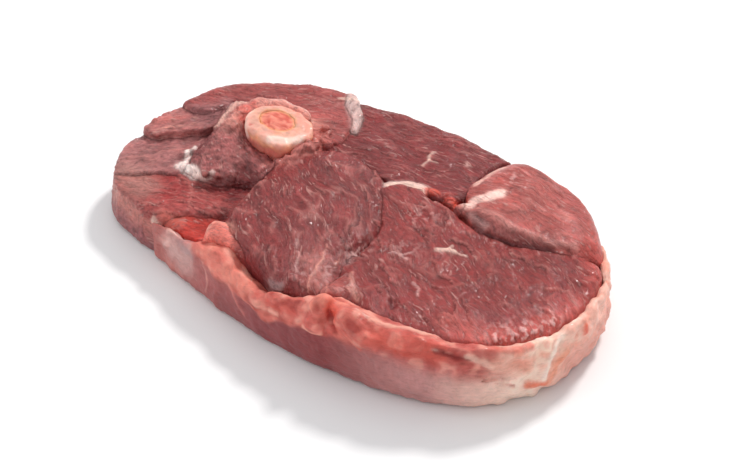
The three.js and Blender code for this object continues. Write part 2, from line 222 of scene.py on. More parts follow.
# Lumps that are run into the solids: centre, half sizes, turn in degrees, softness.
MEAT_BLOBS = [
    ((-29.5, 2.5, 22.0), (3.4, 4.2, 3.2), 10, 2.0),
    ((-30.5, 8.5, 21.5), (2.6, 3.2, 3.0), 40, 1.6),
    ((-31.5, -4.5, 21.0), (2.6, 3.4, 3.0), -40, 1.6),
    ((-27.0, 11.5, 20.5), (2.2, 2.2, 2.4), 0, 1.5),
    ((-57.5, -1.5, 22.6), (3.2, 3.6, 3.2), -25, 2.4),
    ((-58.6, 4.5, 24.0), (3.6, 4.0, 3.4), 0, 2.4),
    ((-56.6, 10.0, 24.8), (3.8, 3.6, 3.4), 0, 2.4),
    ((-51.5, 14.0, 25.0), (4.6, 3.0, 3.2), 10, 2.4),
    ((-44.0, 15.8, 24.4), (4.6, 2.4, 2.8), 0, 2.2),
    ((-73.0, 2.5, 17.8), (6.0, 3.4, 2.8), 40, 2.2),
    ((19.8, 17.4, 21.0), (4.2, 2.2, 2.2), -30, 1.0),
    ((27.0, 16.0, 21.8), (3.4, 2.6, 2.6), 40, 1.0),
    ((13.8, 16.6, 21.6), (2.2, 1.6, 1.4), 0, 0.8),
    ((19.5, -30.0, 19.9), (3.0, 5.0, 2.8), -25, 2.2),
    ((16.6, -24.8, 19.4), (2.8, 3.4, 2.6), -40, 2.0),
    ((22.5, -40.0, 19.6), (3.2, 5.0, 2.6), 10, 2.0),
    ((-63.4, -17.0, 17.0), (1.2, 3.6, 1.4), -20, 0.8),
    ((-57.0, -23.2, 16.6), (3.6, 1.5, 1.6), -10, 0.8),
]
# Rough places of the cut face that glint, with a painted highlight over them: place in plan, reach
# and height.
ROUGH = [
    ((79.5, -16.0), 6.5, 0.6), ((75.0, -21.5), 5.0, 0.55), ((81.0, -7.0), 4.5, 0.5),
    ((16.0, -21.0), 4.5, 0.36), ((19.0, -33.0), 4.5, 0.24), ((13.0, -42.0), 4.5, 0.16),
    ((28.0, -12.0), 5.0, 0.16), ((21.0, 4.0), 5.0, 0.2), ((30.0, 35.0), 6.0, 0.24),
    ((27.0, -36.0), 4.0, 0.22),
]
# Crumbs of torn flesh: how many, their least and greatest radius, and the line they lie along.
CRUMBS = [
    (30, 0.8, 1.7, [(-33, -7, 22), (-30, -3.5, 24.5), (-29, 2, 26), (-29.3, 7, 25.5),
     (-32, 12, 23.8)]),
    (18, 0.8, 1.6, [(-27, 11, 23), (-31, 15, 22.4), (-36, 17.5, 22.2)]),
    (12, 0.7, 1.3, [(-58.5, 3, 25.2), (-56, 9, 26), (-52, 13, 26)]),
    (14, 0.6, 1.2, [(-50, -22.5, 18.5), (-45, -21, 20), (-41, -17, 20)]),
]
# Hollows that are scooped out of the solids, written as the lumps are.
MEAT_HOLLOWS = [
    ((-37.5, -17.0, 25.0), (6.5, 4.0, 6.0), -35, 3.0),
    ((42.0, -31.5, 24.6), (1.2, 1.2, 2.2), 0, 0.8),
    ((78.0, 6.0, 24.5), (9.0, 12.0, 3.4), 20, 2.5),
]
FAT_HOLLOWS = [
    ((30.8, -49.4, 21.0), (1.5, 3.0, 3.0), -25, 1.2),
    ((69.8, -35.0, 21.6), (5.0, 1.0, 1.2), 26, 0.8),
    ((76.5, -31.0, 16.2), (5.5, 1.2, 0.9), 36, 0.8),
    ((77.5, -29.0, 12.6), (4.5, 1.2, 0.8), 40, 0.8),
    ((89.5, -3.0, 9.0), (4.6, 3.2, 6.0), 10, 2.0),
    ((88.0, -13.5, 12.0), (2.4, 2.2, 9.0), 20, 1.5),
    ((87.0, -7.0, 20.5), (2.6, 3.6, 2.6), 10, 1.6),
    ((85.5, -16.5, 19.5), (3.0, 3.0, 3.4), 40, 1.6),
    ((88.0, 7.0, 17.5), (2.4, 4.0, 3.0), 0, 1.6),
    ((88.5, 3.0, 5.0), (3.0, 5.0, 7.0), 0, 3.0),
]
FAT_BLOBS = [
    ((26.6, -46.5, 21.0), (3.6, 3.4, 4.4), 55, 1.5),
    ((27.4, -50.2, 17.0), (4.2, 1.8, 2.6), 10, 1.0),
    ((36.0, -45.4, 21.8), (5.0, 3.4, 3.0), 5, 1.8),
    ((43.5, -46.5, 19.5), (7.0, 2.6, 3.2), 8, 2.0),
    ((56.0, -41.5, 20.5), (6.0, 2.4, 3.2), 24, 2.0),
    ((2.0, -51.2, 14.5), (6.5, 2.6, 3.2), -4, 1.8),
    ((13.0, -50.0, 17.5), (6.0, 2.4, 3.0), 8, 1.6),
    ((-21.0, -46.5, 14.5), (3.0, 2.4, 3.0), -20, 1.5),
]

# ---- Colours, sRGB --------------------------------------------------------------------------

# Painted shade in the clefts between the muscles.
CLEFT_SHADE_RED = (84, 14, 20)
MEAT_RIM = (198, 88, 80)
SIDE_MAUVE = (150, 86, 88)
SIDE_PINK = (190, 112, 102)
LIP_PINK = (242, 172, 154)
# Pale strings, and the painted highlight over rough places that glint.
PALE_WISP_AND_HIGHLIGHT = (236, 186, 180)
BAND_SALMON = (208, 110, 98)
BAND_RED = (164, 58, 52)
BAND_DULL = (188, 92, 86)
END_PINK = (236, 174, 158)
SKIN_PINK = (234, 140, 116)
WALL_CREAM = (252, 208, 188)
BONE_CREAM = (216, 160, 144)
BONE_FLANK = (238, 166, 130)
BONE_RIM = (234, 168, 154)
BONE_PINK = (220, 136, 120)
BONE_LINING = (228, 168, 124)
BONE_LOW = (204, 108, 96)
MARROW_RED = (200, 88, 74)
MARROW_PALE = (230, 142, 122)
MARROW_EDGE = (236, 176, 120)
CREAM = (240, 202, 186)
# Painted shade in hollows and pits.
SHADE_MAROON = (96, 20, 24)
FILM = (208, 166, 160)
# Pale strands, and the painted highlight on the lips of the broken steps.
STREAK_AND_LIT_PINK = (208, 132, 124)
FAT_END_RED = (176, 102, 96)
# Colours of the outer wall under the band, round the outline.
WALL_COLOURS = [
    (0.155, (172, 98, 92)), (0.2, (172, 98, 94)), (0.25, (158, 86, 86)), (0.275, (146, 76, 78)),
    (0.33, (142, 68, 69)), (0.4, (198, 140, 136)), (0.445, (250, 206, 190)),
    (0.475, (255, 222, 204)), (0.505, (234, 166, 150)), (0.62, (230, 162, 148)),
]

# Seams, veins, folds and patches, painted in this order: colour, strength, width, rise,
# hardness of the edge, and the line that they lie along.
MEAT_MARKS = [
    # The cream edge of the sheath round the bone.
    ((228, 150, 136), 0.85, 4.0, 0.0, 0.1, [(-58, -1, 25), (-58.5, 7, 27), (-54, 13, 28),
     (-46, 16.4, 27), (-40, 16.8, 26)]),
    ((240, 186, 170), 0.9, 1.4, 0.3, 0.3, [(-62.8, -3.5, 22.1), (-64.5, 1.1, 23), (-65.5, 7, 23),
     (-63, 11.5, 23.5), (-58, 14.8, 24), (-50, 17, 24), (-42, 18, 23.5)]),
    ((204, 84, 74), 0.8, 1.5, 0.0, 0.2, [(-59, 3.5, 25.5), (-58, 8, 26), (-56, 0.5, 24.5)]),
    ((206, 122, 112), 0.75, 3.0, 0.0, 0.2, [(-31, -4, 25), (-29.3, 2, 26), (-29.5, 8, 25.5),
     (-32, 13, 24), (-36, 17, 22.5)]),
    ((196, 120, 114), 0.7, 1.2, 0.2, 0.2, [(-35.5, -10, 22.4), (-33, -6, 23.4), (-31, -2, 24.4)]),
    # Painted shade in the clefts at the two sides of the muscle beside the bone.
    ((110, 52, 54), 0.75, 3.2, 0.0, 0.1, [(-65.5, -6.3, 17), (-62, -11, 17), (-59.5, -16, 18)]),
    ((104, 30, 32), 0.8, 3.0, -0.4, 0.1, [(-40, -14, 19), (-37, -19, 18.3), (-34.7, -24.5, 17.1)]),
    # The white crescent, and painted shade in the hollow at the foot of the muscle beside the bone.
    ((255, 232, 224), 0.95, 0.9, 0.2, 0.5, [(-65, -12.5, 17), (-63.4, -17, 17.8),
     (-60.5, -20.5, 17.5)]),
    ((255, 232, 224), 0.95, 1.9, 0.2, 0.5, [(-60.4, -22.6, 17), (-57, -23.6, 17.5),
     (-53.6, -23.6, 18)]),
    ((250, 214, 204), 0.8, 0.8, 0.2, 0.4, [(-53, -23.4, 18), (-48.8, -22.8, 18.3),
     (-46.5, -21.8, 20)]),
    (SHADE_MAROON, 0.8, 2.2, -0.5, 0.2, [(-44, -24.5, 18), (-38, -21.5, 18.5), (-35, -15, 19)]),
    # The grey strip of fat between the two back muscles.
    (CREAM, 0.7, 0.8, 0.2, 0.3, [(-45, 36, 21), (-41, 38, 21), (-38, 41, 20.5)]),
    # The fine vein in the dark muscle.
    (CREAM, 0.6, 0.45, 0.2, 0.2, [(-2.4, 34.6, 20.2), (-0.5, 30, 20.7), (0.6, 25.9, 21.1)]),
    (CREAM, 0.4, 0.4, 0.1, 0.2, [(-0.5, 30, 20.7), (3, 30.5, 20.7)]),
    # The white crescent and red bits where the three muscles meet.
    (CREAM, 0.9, 1.3, 0.6, 0.5, [(1, 9, 22), (3, 11.5, 22.3), (5.6, 13.8, 22.2), (9.8, 15, 21.9)]),
    ((214, 84, 66), 0.9, 1.5, 0.2, 0.4, [(12.2, 16.2, 22), (14.5, 17, 22)]),
    ((206, 72, 58), 0.9, 2.4, 0.0, 0.3, [(19.6, 17.3, 21.5), (23, 18.5, 21.5)]),
    ((212, 84, 66), 0.9, 2.3, 0.0, 0.3, [(24, 17.4, 22), (27, 17.4, 23)]),
    ((252, 206, 194), 0.95, 2.1, 0.3, 0.4, [(27.6, 17.2, 24.3), (28.6, 19.8, 24.9),
     (30.7, 22.3, 26.0), (32.2, 26.7, 26.0)]),
    ((240, 186, 172), 0.85, 1.1, 0.2, 0.4, [(22.5, 27, 25), (22, 34, 25), (22.5, 40, 24.5)]),
    ((96, 34, 34), 0.8, 1.2, -0.3, 0.2, [(17, 14.6, 21), (20.5, 19.6, 21), (21.8, 23, 21.2)]),
    # The ridge, the smooth side, and the groove with painted shade at the front of the pale muscle.
    ((196, 128, 120), 0.75, 1.3, 0.5, 0.3, [(32.5, 17, 25.2), (38.9, 16.6, 25.7),
     (45.6, 16.8, 24.8), (51.9, 18.6, 24), (58, 20.5, 23.6), (64, 24.5, 22.6)]),
    ((140, 76, 74), 0.7, 1.5, 0.0, 0.2, [(35, 14.2, 24.6), (43, 13.9, 24.3), (50, 16, 23),
     (57, 18.4, 22.4)]),
    ((92, 30, 32), 0.8, 0.9, -0.4, 0.2, [(33.8, 11.9, 22.6), (39.2, 10.9, 23), (45.4, 12.3, 22.6),
     (53, 15.6, 22), (60, 19, 21.6)]),
    # The grey film under the rolled edge of the pale muscle.
    ((152, 114, 110), 0.75, 1.4, 0.0, 0.3, [(30.8, 14.5, 23.4), (34.5, 13.6, 24), (38, 13, 23.8)]),
    # The vein of fat in the main muscle, and painted shade in its pit.
    (CREAM, 0.85, 0.9, 0.4, 0.4, [(34.8, -5.4, 23.8), (37, -3.6, 23.8), (39, -2.6, 23.6)]),
    (CREAM, 0.7, 0.5, 0.3, 0.3, [(37, -3.6, 23.8), (36.9, -0.8, 23.5)]),
    (CREAM, 0.75, 0.5, 0.3, 0.3, [(39, -2.6, 23.6), (42.9, -1.4, 23.2)]),
    (PALE_WISP_AND_HIGHLIGHT, 0.6, 0.4, 0.3, 0.3, [(25.5, -16, 24), (28.5, -14.5, 24), (30, -12, 24)]),
    (PALE_WISP_AND_HIGHLIGHT, 0.6, 0.4, 0.3, 0.3, [(28.5, -14.5, 24), (32, -15.5, 24)]),
    (PALE_WISP_AND_HIGHLIGHT, 0.55, 0.4, 0.3, 0.3, [(40, -22, 23.5), (43.5, -22.5, 23.5), (45, -25, 23.4)]),
    (SHADE_MAROON, 0.85, 1.0, -0.9, 0.3, [(42.9, -33.6, 23.3), (40.6, -32.4, 23.4)]),
    # The greyish patch and the pale strings where the eye runs into the main muscle.
    ((142, 104, 102), 0.6, 2.0, 0.0, 0.1, [(16.5, -23.5, 20.5), (18.5, -27, 20.5)]),
    ((190, 112, 104), 0.6, 4.5, 0.0, 0.1, [(12, -34, 23), (18, -40, 22), (24, -40, 22)]),
    (LIP_PINK, 0.4, 0.45, 0.4, 0.4, [(9, -27, 24.5), (13, -33, 23.6), (15.5, -40, 23),
     (18.5, -44, 21.8)]),
    (LIP_PINK, 0.4, 0.4, 0.4, 0.4, [(14, -26, 23), (17.5, -32, 21.8), (20, -38, 21.5),
     (23.5, -42, 22.4)]),
    (PALE_WISP_AND_HIGHLIGHT, 0.4, 0.4, 0.4, 0.4, [(2, -32, 24.6), (7.5, -37, 24.4), (11, -42, 23.2)]),
    (LIP_PINK, 0.35, 0.9, 0.4, 0.4, [(24, -31, 22.8), (28, -36, 23), (33, -38.5, 23.2)]),
    # The lighter step of the main muscle and the smooth dark patch to its right.
    ((196, 112, 104), 0.7, 0.8, 0.5, 0.3, [(69.3, 3.9, 22), (71.5, 7, 22), (75.5, 8.5, 21.5),
     (81.5, 4.4, 20.6)]),
    ((128, 54, 54), 0.6, 5.0, 0.0, 0.1, [(70, 15.5, 22), (76, 12.5, 21.3)]),
    # The bright edge of the main muscle at the right end.
    ((196, 96, 88), 0.6, 4.0, 0.0, 0.1, [(60, -27, 22.4), (70, -25.5, 22.4), (77, -21, 22),
     (80, -13, 21.6), (80, -5, 21.4)]),
    # The streaked side over the channel behind the front roll, darkened with painted shade, and its
    # silvery patch.
    ((116, 34, 38), 0.8, 2.6, 0.0, 0.2, [(-12, -45, 17), (-5.5, -46.2, 16.6), (1.5, -48, 17),
     (6, -50, 17)]),
    ((176, 152, 150), 0.65, 0.9, 0.1, 0.3, [(1.5, -47.4, 19.0), (6, -47.8, 19.8), (10, -47, 20.4)]),
    # The pale rim of the lobe, and painted shade on its side over the channel.
    (LIP_PINK, 0.55, 1.1, 0.3, 0.2, [(-27, -45, 19.5), (-26, -40.5, 20.4), (-21, -38, 20.6),
     (-15, -39.5, 20)]),
    ((138, 50, 50), 0.7, 2.2, -0.3, 0.2, [(-14, -41.5, 19), (-9, -44.5, 18), (-3, -47, 17.5)]),
    # Seams of the left end.
    ((176, 128, 118), 0.6, 6.0, 0.0, 0.2, [(-72, -37, 14.5), (-62, -38, 15.5)]),
    ((150, 30, 32), 0.55, 3.4, 0.0, 0.2, [(-58, -29, 16), (-53, -31, 16.3), (-53, -35, 16.2)]),
    ((196, 112, 104), 0.45, 0.5, 0.3, 0.2, [(-54, -26.9, 16.3), (-49.1, -28.3, 16.4),
     (-45.8, -31.8, 16.4), (-42, -35.9, 15.9)]),
    (LIP_PINK, 0.6, 0.5, 0.2, 0.2, [(-78.7, -15.9, 18.1), (-76.4, -11.9, 18), (-73.4, -8.2, 18.2),
     (-70.4, -3.8, 19)]),
    (LIP_PINK, 0.6, 0.5, 0.2, 0.2, [(-80.1, -1.6, 18.6), (-75.5, -0.7, 20.2), (-72.3, 3.8, 20.6)]),
    ((146, 88, 88), 0.85, 2.6, 0.0, 0.2, [(-76.5, -1.6, 19), (-72, 1.5, 19.2), (-70.5, -1, 19)]),
    ((204, 104, 94), 0.45, 1.4, 0.2, 0.2, [(-83, -13, 17.6), (-79, -9, 18), (-76, -5, 18.4)]),
    ((146, 92, 92), 0.85, 4.0, 0.0, 0.1, [(-72, -3, 18.8), (-69, 2, 20), (-70, 7, 21)]),
    # The bright red ledge: its salmon left end, its cream border, and painted shade at the end of
    # its slope.
    ((200, 104, 92), 0.7, 2.4, 0.3, 0.2, [(-46, -43.5, 14.5), (-41, -42, 14.5)]),
    (CREAM, 0.8, 0.7, 0.2, 0.3, [(-49.5, -45, 12.5), (-45.2, -45.8, 13.4), (-41, -44.6, 13.8)]),
    ((92, 16, 18), 0.85, 1.6, -0.3, 0.2, [(-32.5, -30.5, 15.5), (-29.2, -34.5, 15.2),
     (-26.6, -38.5, 16)]),
]
FAT_MARKS = [
    # The grey film over the left corner, its pale top and its fold.
    (FILM, 0.8, 5.0, 0.0, 0.2, [(-37, -47.5, 10), (-31, -49.5, 9)]),
    ((236, 184, 174), 0.8, 1.8, 0.4, 0.2, [(-45, -47, 9), (-40, -48, 11)]),
    ((162, 140, 140), 0.6, 2.2, 0.0, 0.2, [(-33.5, -47, 13.6), (-28.5, -48.3, 13)]),
    ((214, 140, 130), 0.5, 1.6, 0.0, 0.2, [(-43, -47.6, 4), (-33, -49.8, 3)]),
    ((240, 196, 184), 0.7, 0.7, 0.5, 0.2, [(-46, -46, 12.4), (-40, -46.6, 13.8), (-33, -46.4, 15)]),
    ((222, 158, 148), 0.7, 0.45, 0.3, 0.2, [(-33.8, -42, 14.6), (-27, -45.4, 14.6),
     (-21.5, -49.6, 13.5), (-19.3, -51.2, 9), (-18.6, -51.8, 5)]),
    # The strap that runs from the lobe into the roll, and the fold where its side meets the wall.
    ((232, 140, 122), 0.8, 3.0, 0.3, 0.1, [(-22, -46.5, 16), (-15, -47.5, 15), (-8, -50, 15.5),
     (0, -51, 16)]),
    ((226, 140, 128), 0.55, 0.6, 0.4, 0.2, [(-13.5, -50.4, 14), (-7, -51.9, 12.5),
     (-3.3, -52.7, 8.4), (2.2, -53.6, 4), (4, -53.6, 1)]),
    ((138, 74, 74), 0.6, 3.0, 0.0, 0.1, [(-12, -52.2, 5), (-6, -52.8, 3.5), (-1.5, -53, 1.5)]),
    (LIP_PINK, 0.9, 1.1, 0.6, 0.4, [(10.3, -52.2, 14.1), (12.6, -52.1, 14.3)]),
    ((206, 84, 74), 0.6, 1.4, -0.3, 0.2, [(8, -52, 16.8), (14, -51.6, 17.2), (19, -51, 17.6)]),
    # The torn crag: its pale lips, its red hole darkened with painted shade, and the shreds under
    # it.
    ((240, 152, 132), 0.8, 1.5, 0.7, 0.3, [(25, -48.6, 22.6), (26.8, -46.4, 24.4),
     (29.5, -43.5, 24.6), (32.6, -43, 24.2)]),
    ((228, 92, 74), 0.8, 2.2, 0.0, 0.2, [(29.2, -46.4, 22.8), (32.6, -47, 22)]),
    ((156, 36, 32), 0.85, 1.0, -0.8, 0.3, [(29.6, -47, 21.8), (31.3, -48, 19.6),
     (34.4, -49, 18.4)]),
    ((206, 96, 88), 0.8, 2.0, 0.3, 0.3, [(24.6, -50, 18), (28, -50.4, 16.6), (31.5, -50, 17)]),
    (LIP_PINK, 0.85, 0.8, 0.5, 0.3, [(23.4, -51, 15.6), (26.5, -51, 15), (30, -50.4, 16.2)]),
    ((214, 110, 98), 0.8, 1.2, 0.5, 0.3, [(35, -48.8, 19.4), (38.8, -48.6, 18), (43, -48.4, 16.4)]),
    ((250, 216, 200), 0.95, 0.7, 0.6, 0.4, [(36.5, -43.4, 25), (38.8, -42.6, 25),
     (41.6, -42.9, 24.4)]),
    # The pale crest, the dark tear behind it, the cream chunk and the fine vein below it.
    ((244, 186, 166), 0.8, 1.0, 0.4, 0.3, [(43, -43.6, 24.2), (47.8, -41.4, 24),
     (52.4, -39.6, 24.2), (57, -36, 23), (61.8, -32.4, 22.2), (66.3, -30.4, 22.2)]),
    ((222, 96, 80), 0.65, 3.4, 0.0, 0.1, [(46, -46, 21), (53, -43.5, 21), (60, -40, 21),
     (64, -37.5, 20.5)]),
    ((132, 42, 40), 0.9, 1.0, -0.6, 0.3, [(64, -38.5, 21.4), (68.3, -36.6, 21), (72, -34.4, 20)]),
    ((236, 186, 168), 0.9, 1.3, 0.6, 0.4, [(72.3, -34.2, 20.9), (75.6, -31.4, 19.6),
     (77, -29.6, 18.2)]),
    (CREAM, 0.75, 0.45, 0.3, 0.2, [(56, -39, 23.4), (59, -40.1, 22.6), (64, -38.2, 21.4),
     (67.6, -35, 20.4), (71, -33.6, 18.6)]),
    ((168, 80, 70), 0.85, 0.65, -0.6, 0.3, [(70, -37, 19), (73.5, -34, 18.2), (76.6, -31, 16.6),
     (79.8, -26.6, 12.4)]),
    ((168, 80, 70), 0.85, 0.6, -0.6, 0.3, [(69.4, -38.4, 15.8), (73.4, -35, 15.2), (77, -31, 14),
     (80, -26.8, 12)]),
    ((200, 116, 100), 0.7, 0.5, -0.4, 0.3, [(78.2, -27.9, 10.4), (81.1, -23.6, 8.9)]),
    ((250, 200, 180), 0.6, 2.6, 0.5, 0.1, [(76.5, -27.2, 17), (79.5, -23.5, 15)]),
    # The right corner: orange flecks and skin, the white tendon and the cream crest.
    ((228, 98, 58), 0.85, 1.5, 0.5, 0.3, [(83.4, -19.4, 8), (84.5, -14.2, 6)]),
    ((236, 138, 104), 0.7, 2.2, 0.3, 0.2, [(84.5, -12, 6), (85.4, -9.4, 10.5), (86.2, -6, 13.4)]),
    ((252, 226, 212), 0.9, 1.0, 0.5, 0.3, [(84.6, -14.6, 8.4), (85, -12.4, 13), (85, -9.7, 17.5),
     (84.4, -5.6, 20)]),
    ((236, 158, 136), 0.6, 2.0, 0.0, 0.2, [(82.4, -19.5, 14), (80.2, -23, 17)]),
    ((220, 78, 44), 0.9, 1.1, 0.3, 0.3, [(85.8, 3.5, 17.6), (86.1, 2.9, 15.6)]),
    ((252, 222, 206), 0.9, 1.3, 0.7, 0.4, [(83.5, 2.2, 20.8), (82.4, -2.2, 21), (82.6, -8, 21.2),
     (81.8, -13, 20.8)]),
    ((214, 104, 90), 0.7, 1.2, 0.0, 0.3, [(74.8, -27.8, 22), (79, -23, 21), (81.4, -18, 20.6)]),
]
BONE_MARKS = [
    ((206, 112, 100), 0.7, 2.6, 0.0, 0.1, [(-54.5, 1, 24.5), (-51, -4, 23.5)]),
    ((214, 120, 106), 0.7, 2.6, 0.0, 0.1, [(-31.5, 1, 24.5), (-34, -3.5, 23.8)]),
    ((190, 60, 50), 0.8, 0.8, -0.3, 0.3, [(-49.2, -2.0, 28.4)]),
    ((246, 214, 200), 0.8, 1.9, 0.2, 0.2, [(-54.5, 3, 26.5), (-53, -0.5, 26), (-50, -3.2, 25.5)]),
    ((236, 150, 130), 0.4, 1.6, 0.0, 0.2, [(-54, 8, 28.4), (-50, 12.5, 28.4)]),
    ((232, 150, 130), 0.5, 1.6, 0.0, 0.2, [(-33, 8, 28.4), (-38, 12.5, 28.4), (-46, 13.4, 28.4)]),
    ((250, 226, 212), 0.7, 1.6, 0.1, 0.3, [(-38, -3.4, 28), (-33.5, -0.4, 28), (-31.5, 3, 27.6)]),
]

# ---- Noise and small sums -------------------------------------------------------------------

_shuffle = np.random.default_rng(7).permutation(256)
_slopes = np.random.default_rng(8).normal(size=(256, 3))
_slopes /= np.linalg.norm(_slopes, axis=1)[:, None]


def noise(points, size, seed=0):
    """Smooth noise from about -1 to 1 at points (n, 3), with bumps about size across."""
    p = np.asarray(points, float) / np.asarray(size, float) + 31.7 * seed + 0.37
    cell = np.floor(p).astype(np.int64)
    part = p - cell
    ease = part ** 3 * (part * (part * 6 - 15) + 10)
    total = np.zeros(len(p))
    for corner in np.ndindex(2, 2, 2):
        spot = (cell + corner) & 255
        pick = _shuffle[(spot[:, 0] + 59 * seed) & 255]
        pick = _shuffle[(pick + spot[:, 1]) & 255]
        pick = _shuffle[(pick + spot[:, 2]) & 255]
        away = part - corner
        share = np.where(corner, ease, 1 - ease).prod(1)
        total += share * (away * _slopes[pick]).sum(1)
    return total * 1.7


def smooth(low, high, x):
    """Goes smoothly from 0 at low to 1 at high."""
    t = np.clip((x - low) / (high - low), 0, 1)
    return t * t * (3 - 2 * t)


def mix(a, b, share):
    return a + (b - a) * share


def both(a, b, r):
    """The overlap of two fields, with its edge rounded to radius r."""
    corner = np.hypot(np.maximum(a + r, 0), np.maximum(b + r, 0)) - r
    return np.where((a > -r) & (b > -r), corner, np.maximum(a, b))


def join(a, b, k):
    """Two fields run together, with a fillet about k wide."""
    h = np.maximum(k - np.abs(a - b), 0) / k
    return np.minimum(a, b) - h * h * k / 4


def linear(colour):
    """An sRGB colour of 0 to 255 as linear light from 0 to 1."""
    c = np.asarray(colour, float) / 255
    return np.where(c <= 0.04045, c / 12.92, ((c + 0.055) / 1.055) ** 2.4)


def washed(tint, colour, share):
    """The tint at each point with a share of an sRGB colour over it."""
    return mix(tint, linear(colour), share[:, None])


def varied(tint, amount):
    """The tint made lighter by amount, or darker where amount is below zero."""
    return tint * (1 + amount)[:, None]


def around(pairs, place):
    """A value that goes smoothly through [place, value] pairs round the outline."""
    places = np.array([p for p, _ in pairs])
    values = np.array([v for _, v in pairs], float)
    place = np.clip(place, places[0], places[-1])
    i = np.clip(np.searchsorted(places, place, "right") - 1, 0, len(places) - 2)
    share = (place - places[i]) / (places[i + 1] - places[i])
    return mix(values[i], values[i + 1], share * share * (3 - 2 * share))


# ---- Outlines in plan -----------------------------------------------------------------------

def smooth_outline(corners, steps=10):
    """Points on the closed centripetal Catmull-Rom curve through the corners."""
    p = np.asarray(corners, float)
    n = len(p)
    out = []
    t = np.linspace(0, 1, steps, endpoint=False)[:, None]
    for i in range(n):
        a, b, c, d = (p[(i + k) % n] for k in (-1, 0, 1, 2))
        ab, bc, cd = (np.linalg.norm(q) ** 0.5 for q in (b - a, c - b, d - c))
        leave = ((b - a) / ab - (c - a) / (ab + bc) + (c - b) / bc) * bc
        reach = ((c - b) / bc - (d - b) / (bc + cd) + (d - c) / cd) * bc
        out.append(b + leave * t + (3 * (c - b) - 2 * leave - reach) * t ** 2
                   + (2 * (b - c) + leave + reach) * t ** 3)
    return np.concatenate(out)


def plan_distance(loop, x, y):
    """Signed distance to a closed loop, below zero inside, and the place of the nearest point
    on it, from 0 to 1."""
    ends = np.roll(loop, -1, 0)
    ab = ends - loop
    length = np.linalg.norm(ab, axis=1)
    start = np.concatenate([[0], np.cumsum(length)])
    best = np.full(x.shape, np.inf)
    place = np.zeros(x.shape)
    inside = np.zeros(x.shape, bool)
    for i, (a, b) in enumerate(zip(loop, ends)):
        px, py = x - a[0], y - a[1]
        t = np.clip((px * ab[i, 0] + py * ab[i, 1]) / length[i] ** 2, 0, 1)
        far = (px - t * ab[i, 0]) ** 2 + (py - t * ab[i, 1]) ** 2
        nearer = far < best
        best = np.where(nearer, far, best)
        place = np.where(nearer, (start[i] + t * length[i]) / start[-1], place)
        if ab[i, 1]:
            crossing = a[0] + (y - a[1]) * ab[i, 0] / ab[i, 1]
            inside ^= ((a[1] > y) != (b[1] > y)) & (x < crossing)
    return np.where(inside, -1, 1) * np.sqrt(best), place


class Lattice:
    """A box of evenly spaced points that fields are worked out on."""

    def __init__(self, low, high, step):
        self.low = np.array(low, float)
        self.step = step
        axes = [np.arange(a, b + step / 2, step) for a, b in zip(low, high)]
        self.x, self.y = np.meshgrid(axes[0], axes[1], indexing="ij")
        self.z = axes[2][None, None]

    def noise(self, size, seed):
        flat = np.stack([self.x.ravel(), self.y.ravel(), np.zeros(self.x.size)], 1)
        return noise(flat, size, seed).reshape(self.x.shape)

    def waver(self, seed):
        """How far outlines are pushed about at each place in plan."""
        return sum(reach * self.noise(size, seed + i)
                   for i, (size, reach) in enumerate(PLAN_WARP))

    def to_index(self, p):
        return (p - self.low) / self.step

    def to_mm(self, index):
        return self.low + index * self.step

    def read(self, grid, p):
        """Values of a grid in plan at points p."""
        q = self.to_index(p)[:, :2]
        q = np.clip(q, 0, np.array(grid.shape) - 1.001)
        i, j = q.astype(int).T
        s, t = (q - np.floor(q)).T
        low = grid[i, j] * (1 - t) + grid[i, j + 1] * t
        high = grid[i + 1, j] * (1 - t) + grid[i + 1, j + 1] * t
        return low * (1 - s) + high * s


steak = Lattice(LATTICE_LOW, LATTICE_HIGH, STEP)
waver_x, waver_y = steak.waver(1), steak.waver(4)
steak_loop = smooth_outline(OUTLINE)
out_distance, out_place = plan_distance(
    steak_loop, steak.x + 0.5 * waver_x, steak.y + 0.5 * waver_y)
fat_width = around(FAT_WIDTH, out_place)
bareness = around(BARENESS, out_place)
undulation = 0.45 * steak.noise(11, 9) + 0.25 * steak.noise(5, 10)
wall_lean, foot_reach, foot_height = (
    around(table, out_place) for table in (WALL_LEAN, FOOT_REACH, FOOT_HEIGHT))
tightness = 0.35 + 0.95 * smooth(-0.45, 0.5, steak.noise(13, 11))   # of the clefts


def post_loop(post, grow=0.0, count=90):
    """The outline of the bone or of its marrow: an oval with one low ridge."""
    angle = np.arange(count) * 2 * math.pi / count
    reach = 1 + post["ridge"] * np.exp(-((angle - RIDGE_AT) / RIDGE_WIDE) ** 2)
    x = reach * (post["long"] + grow) * np.cos(angle)
    y = reach * (post["short"] + grow) * np.sin(angle)
    c, s = math.cos(post["turn"]), math.sin(post["turn"])
    return np.stack([post["x"] + c * x - s * y, post["y"] + s * x + c * y], 1)


# ---- Fields ---------------------------------------------------------------------------------

def foot_turn(z, reach, height):
    """How far the foot of a wall turns in under the steak at height z."""
    return reach * (1 - np.sqrt(1 - np.clip(1 - z / height, 0, 1) ** 2))


bone_distance, _ = plan_distance(post_loop(BONE), steak.x, steak.y)
# The greatest height of the cut face, from its border inwards.
border = around(ROOF, out_place)
roof = border + around(ROOF_SLOPE, out_place) * np.maximum(-out_distance - fat_width, 0)


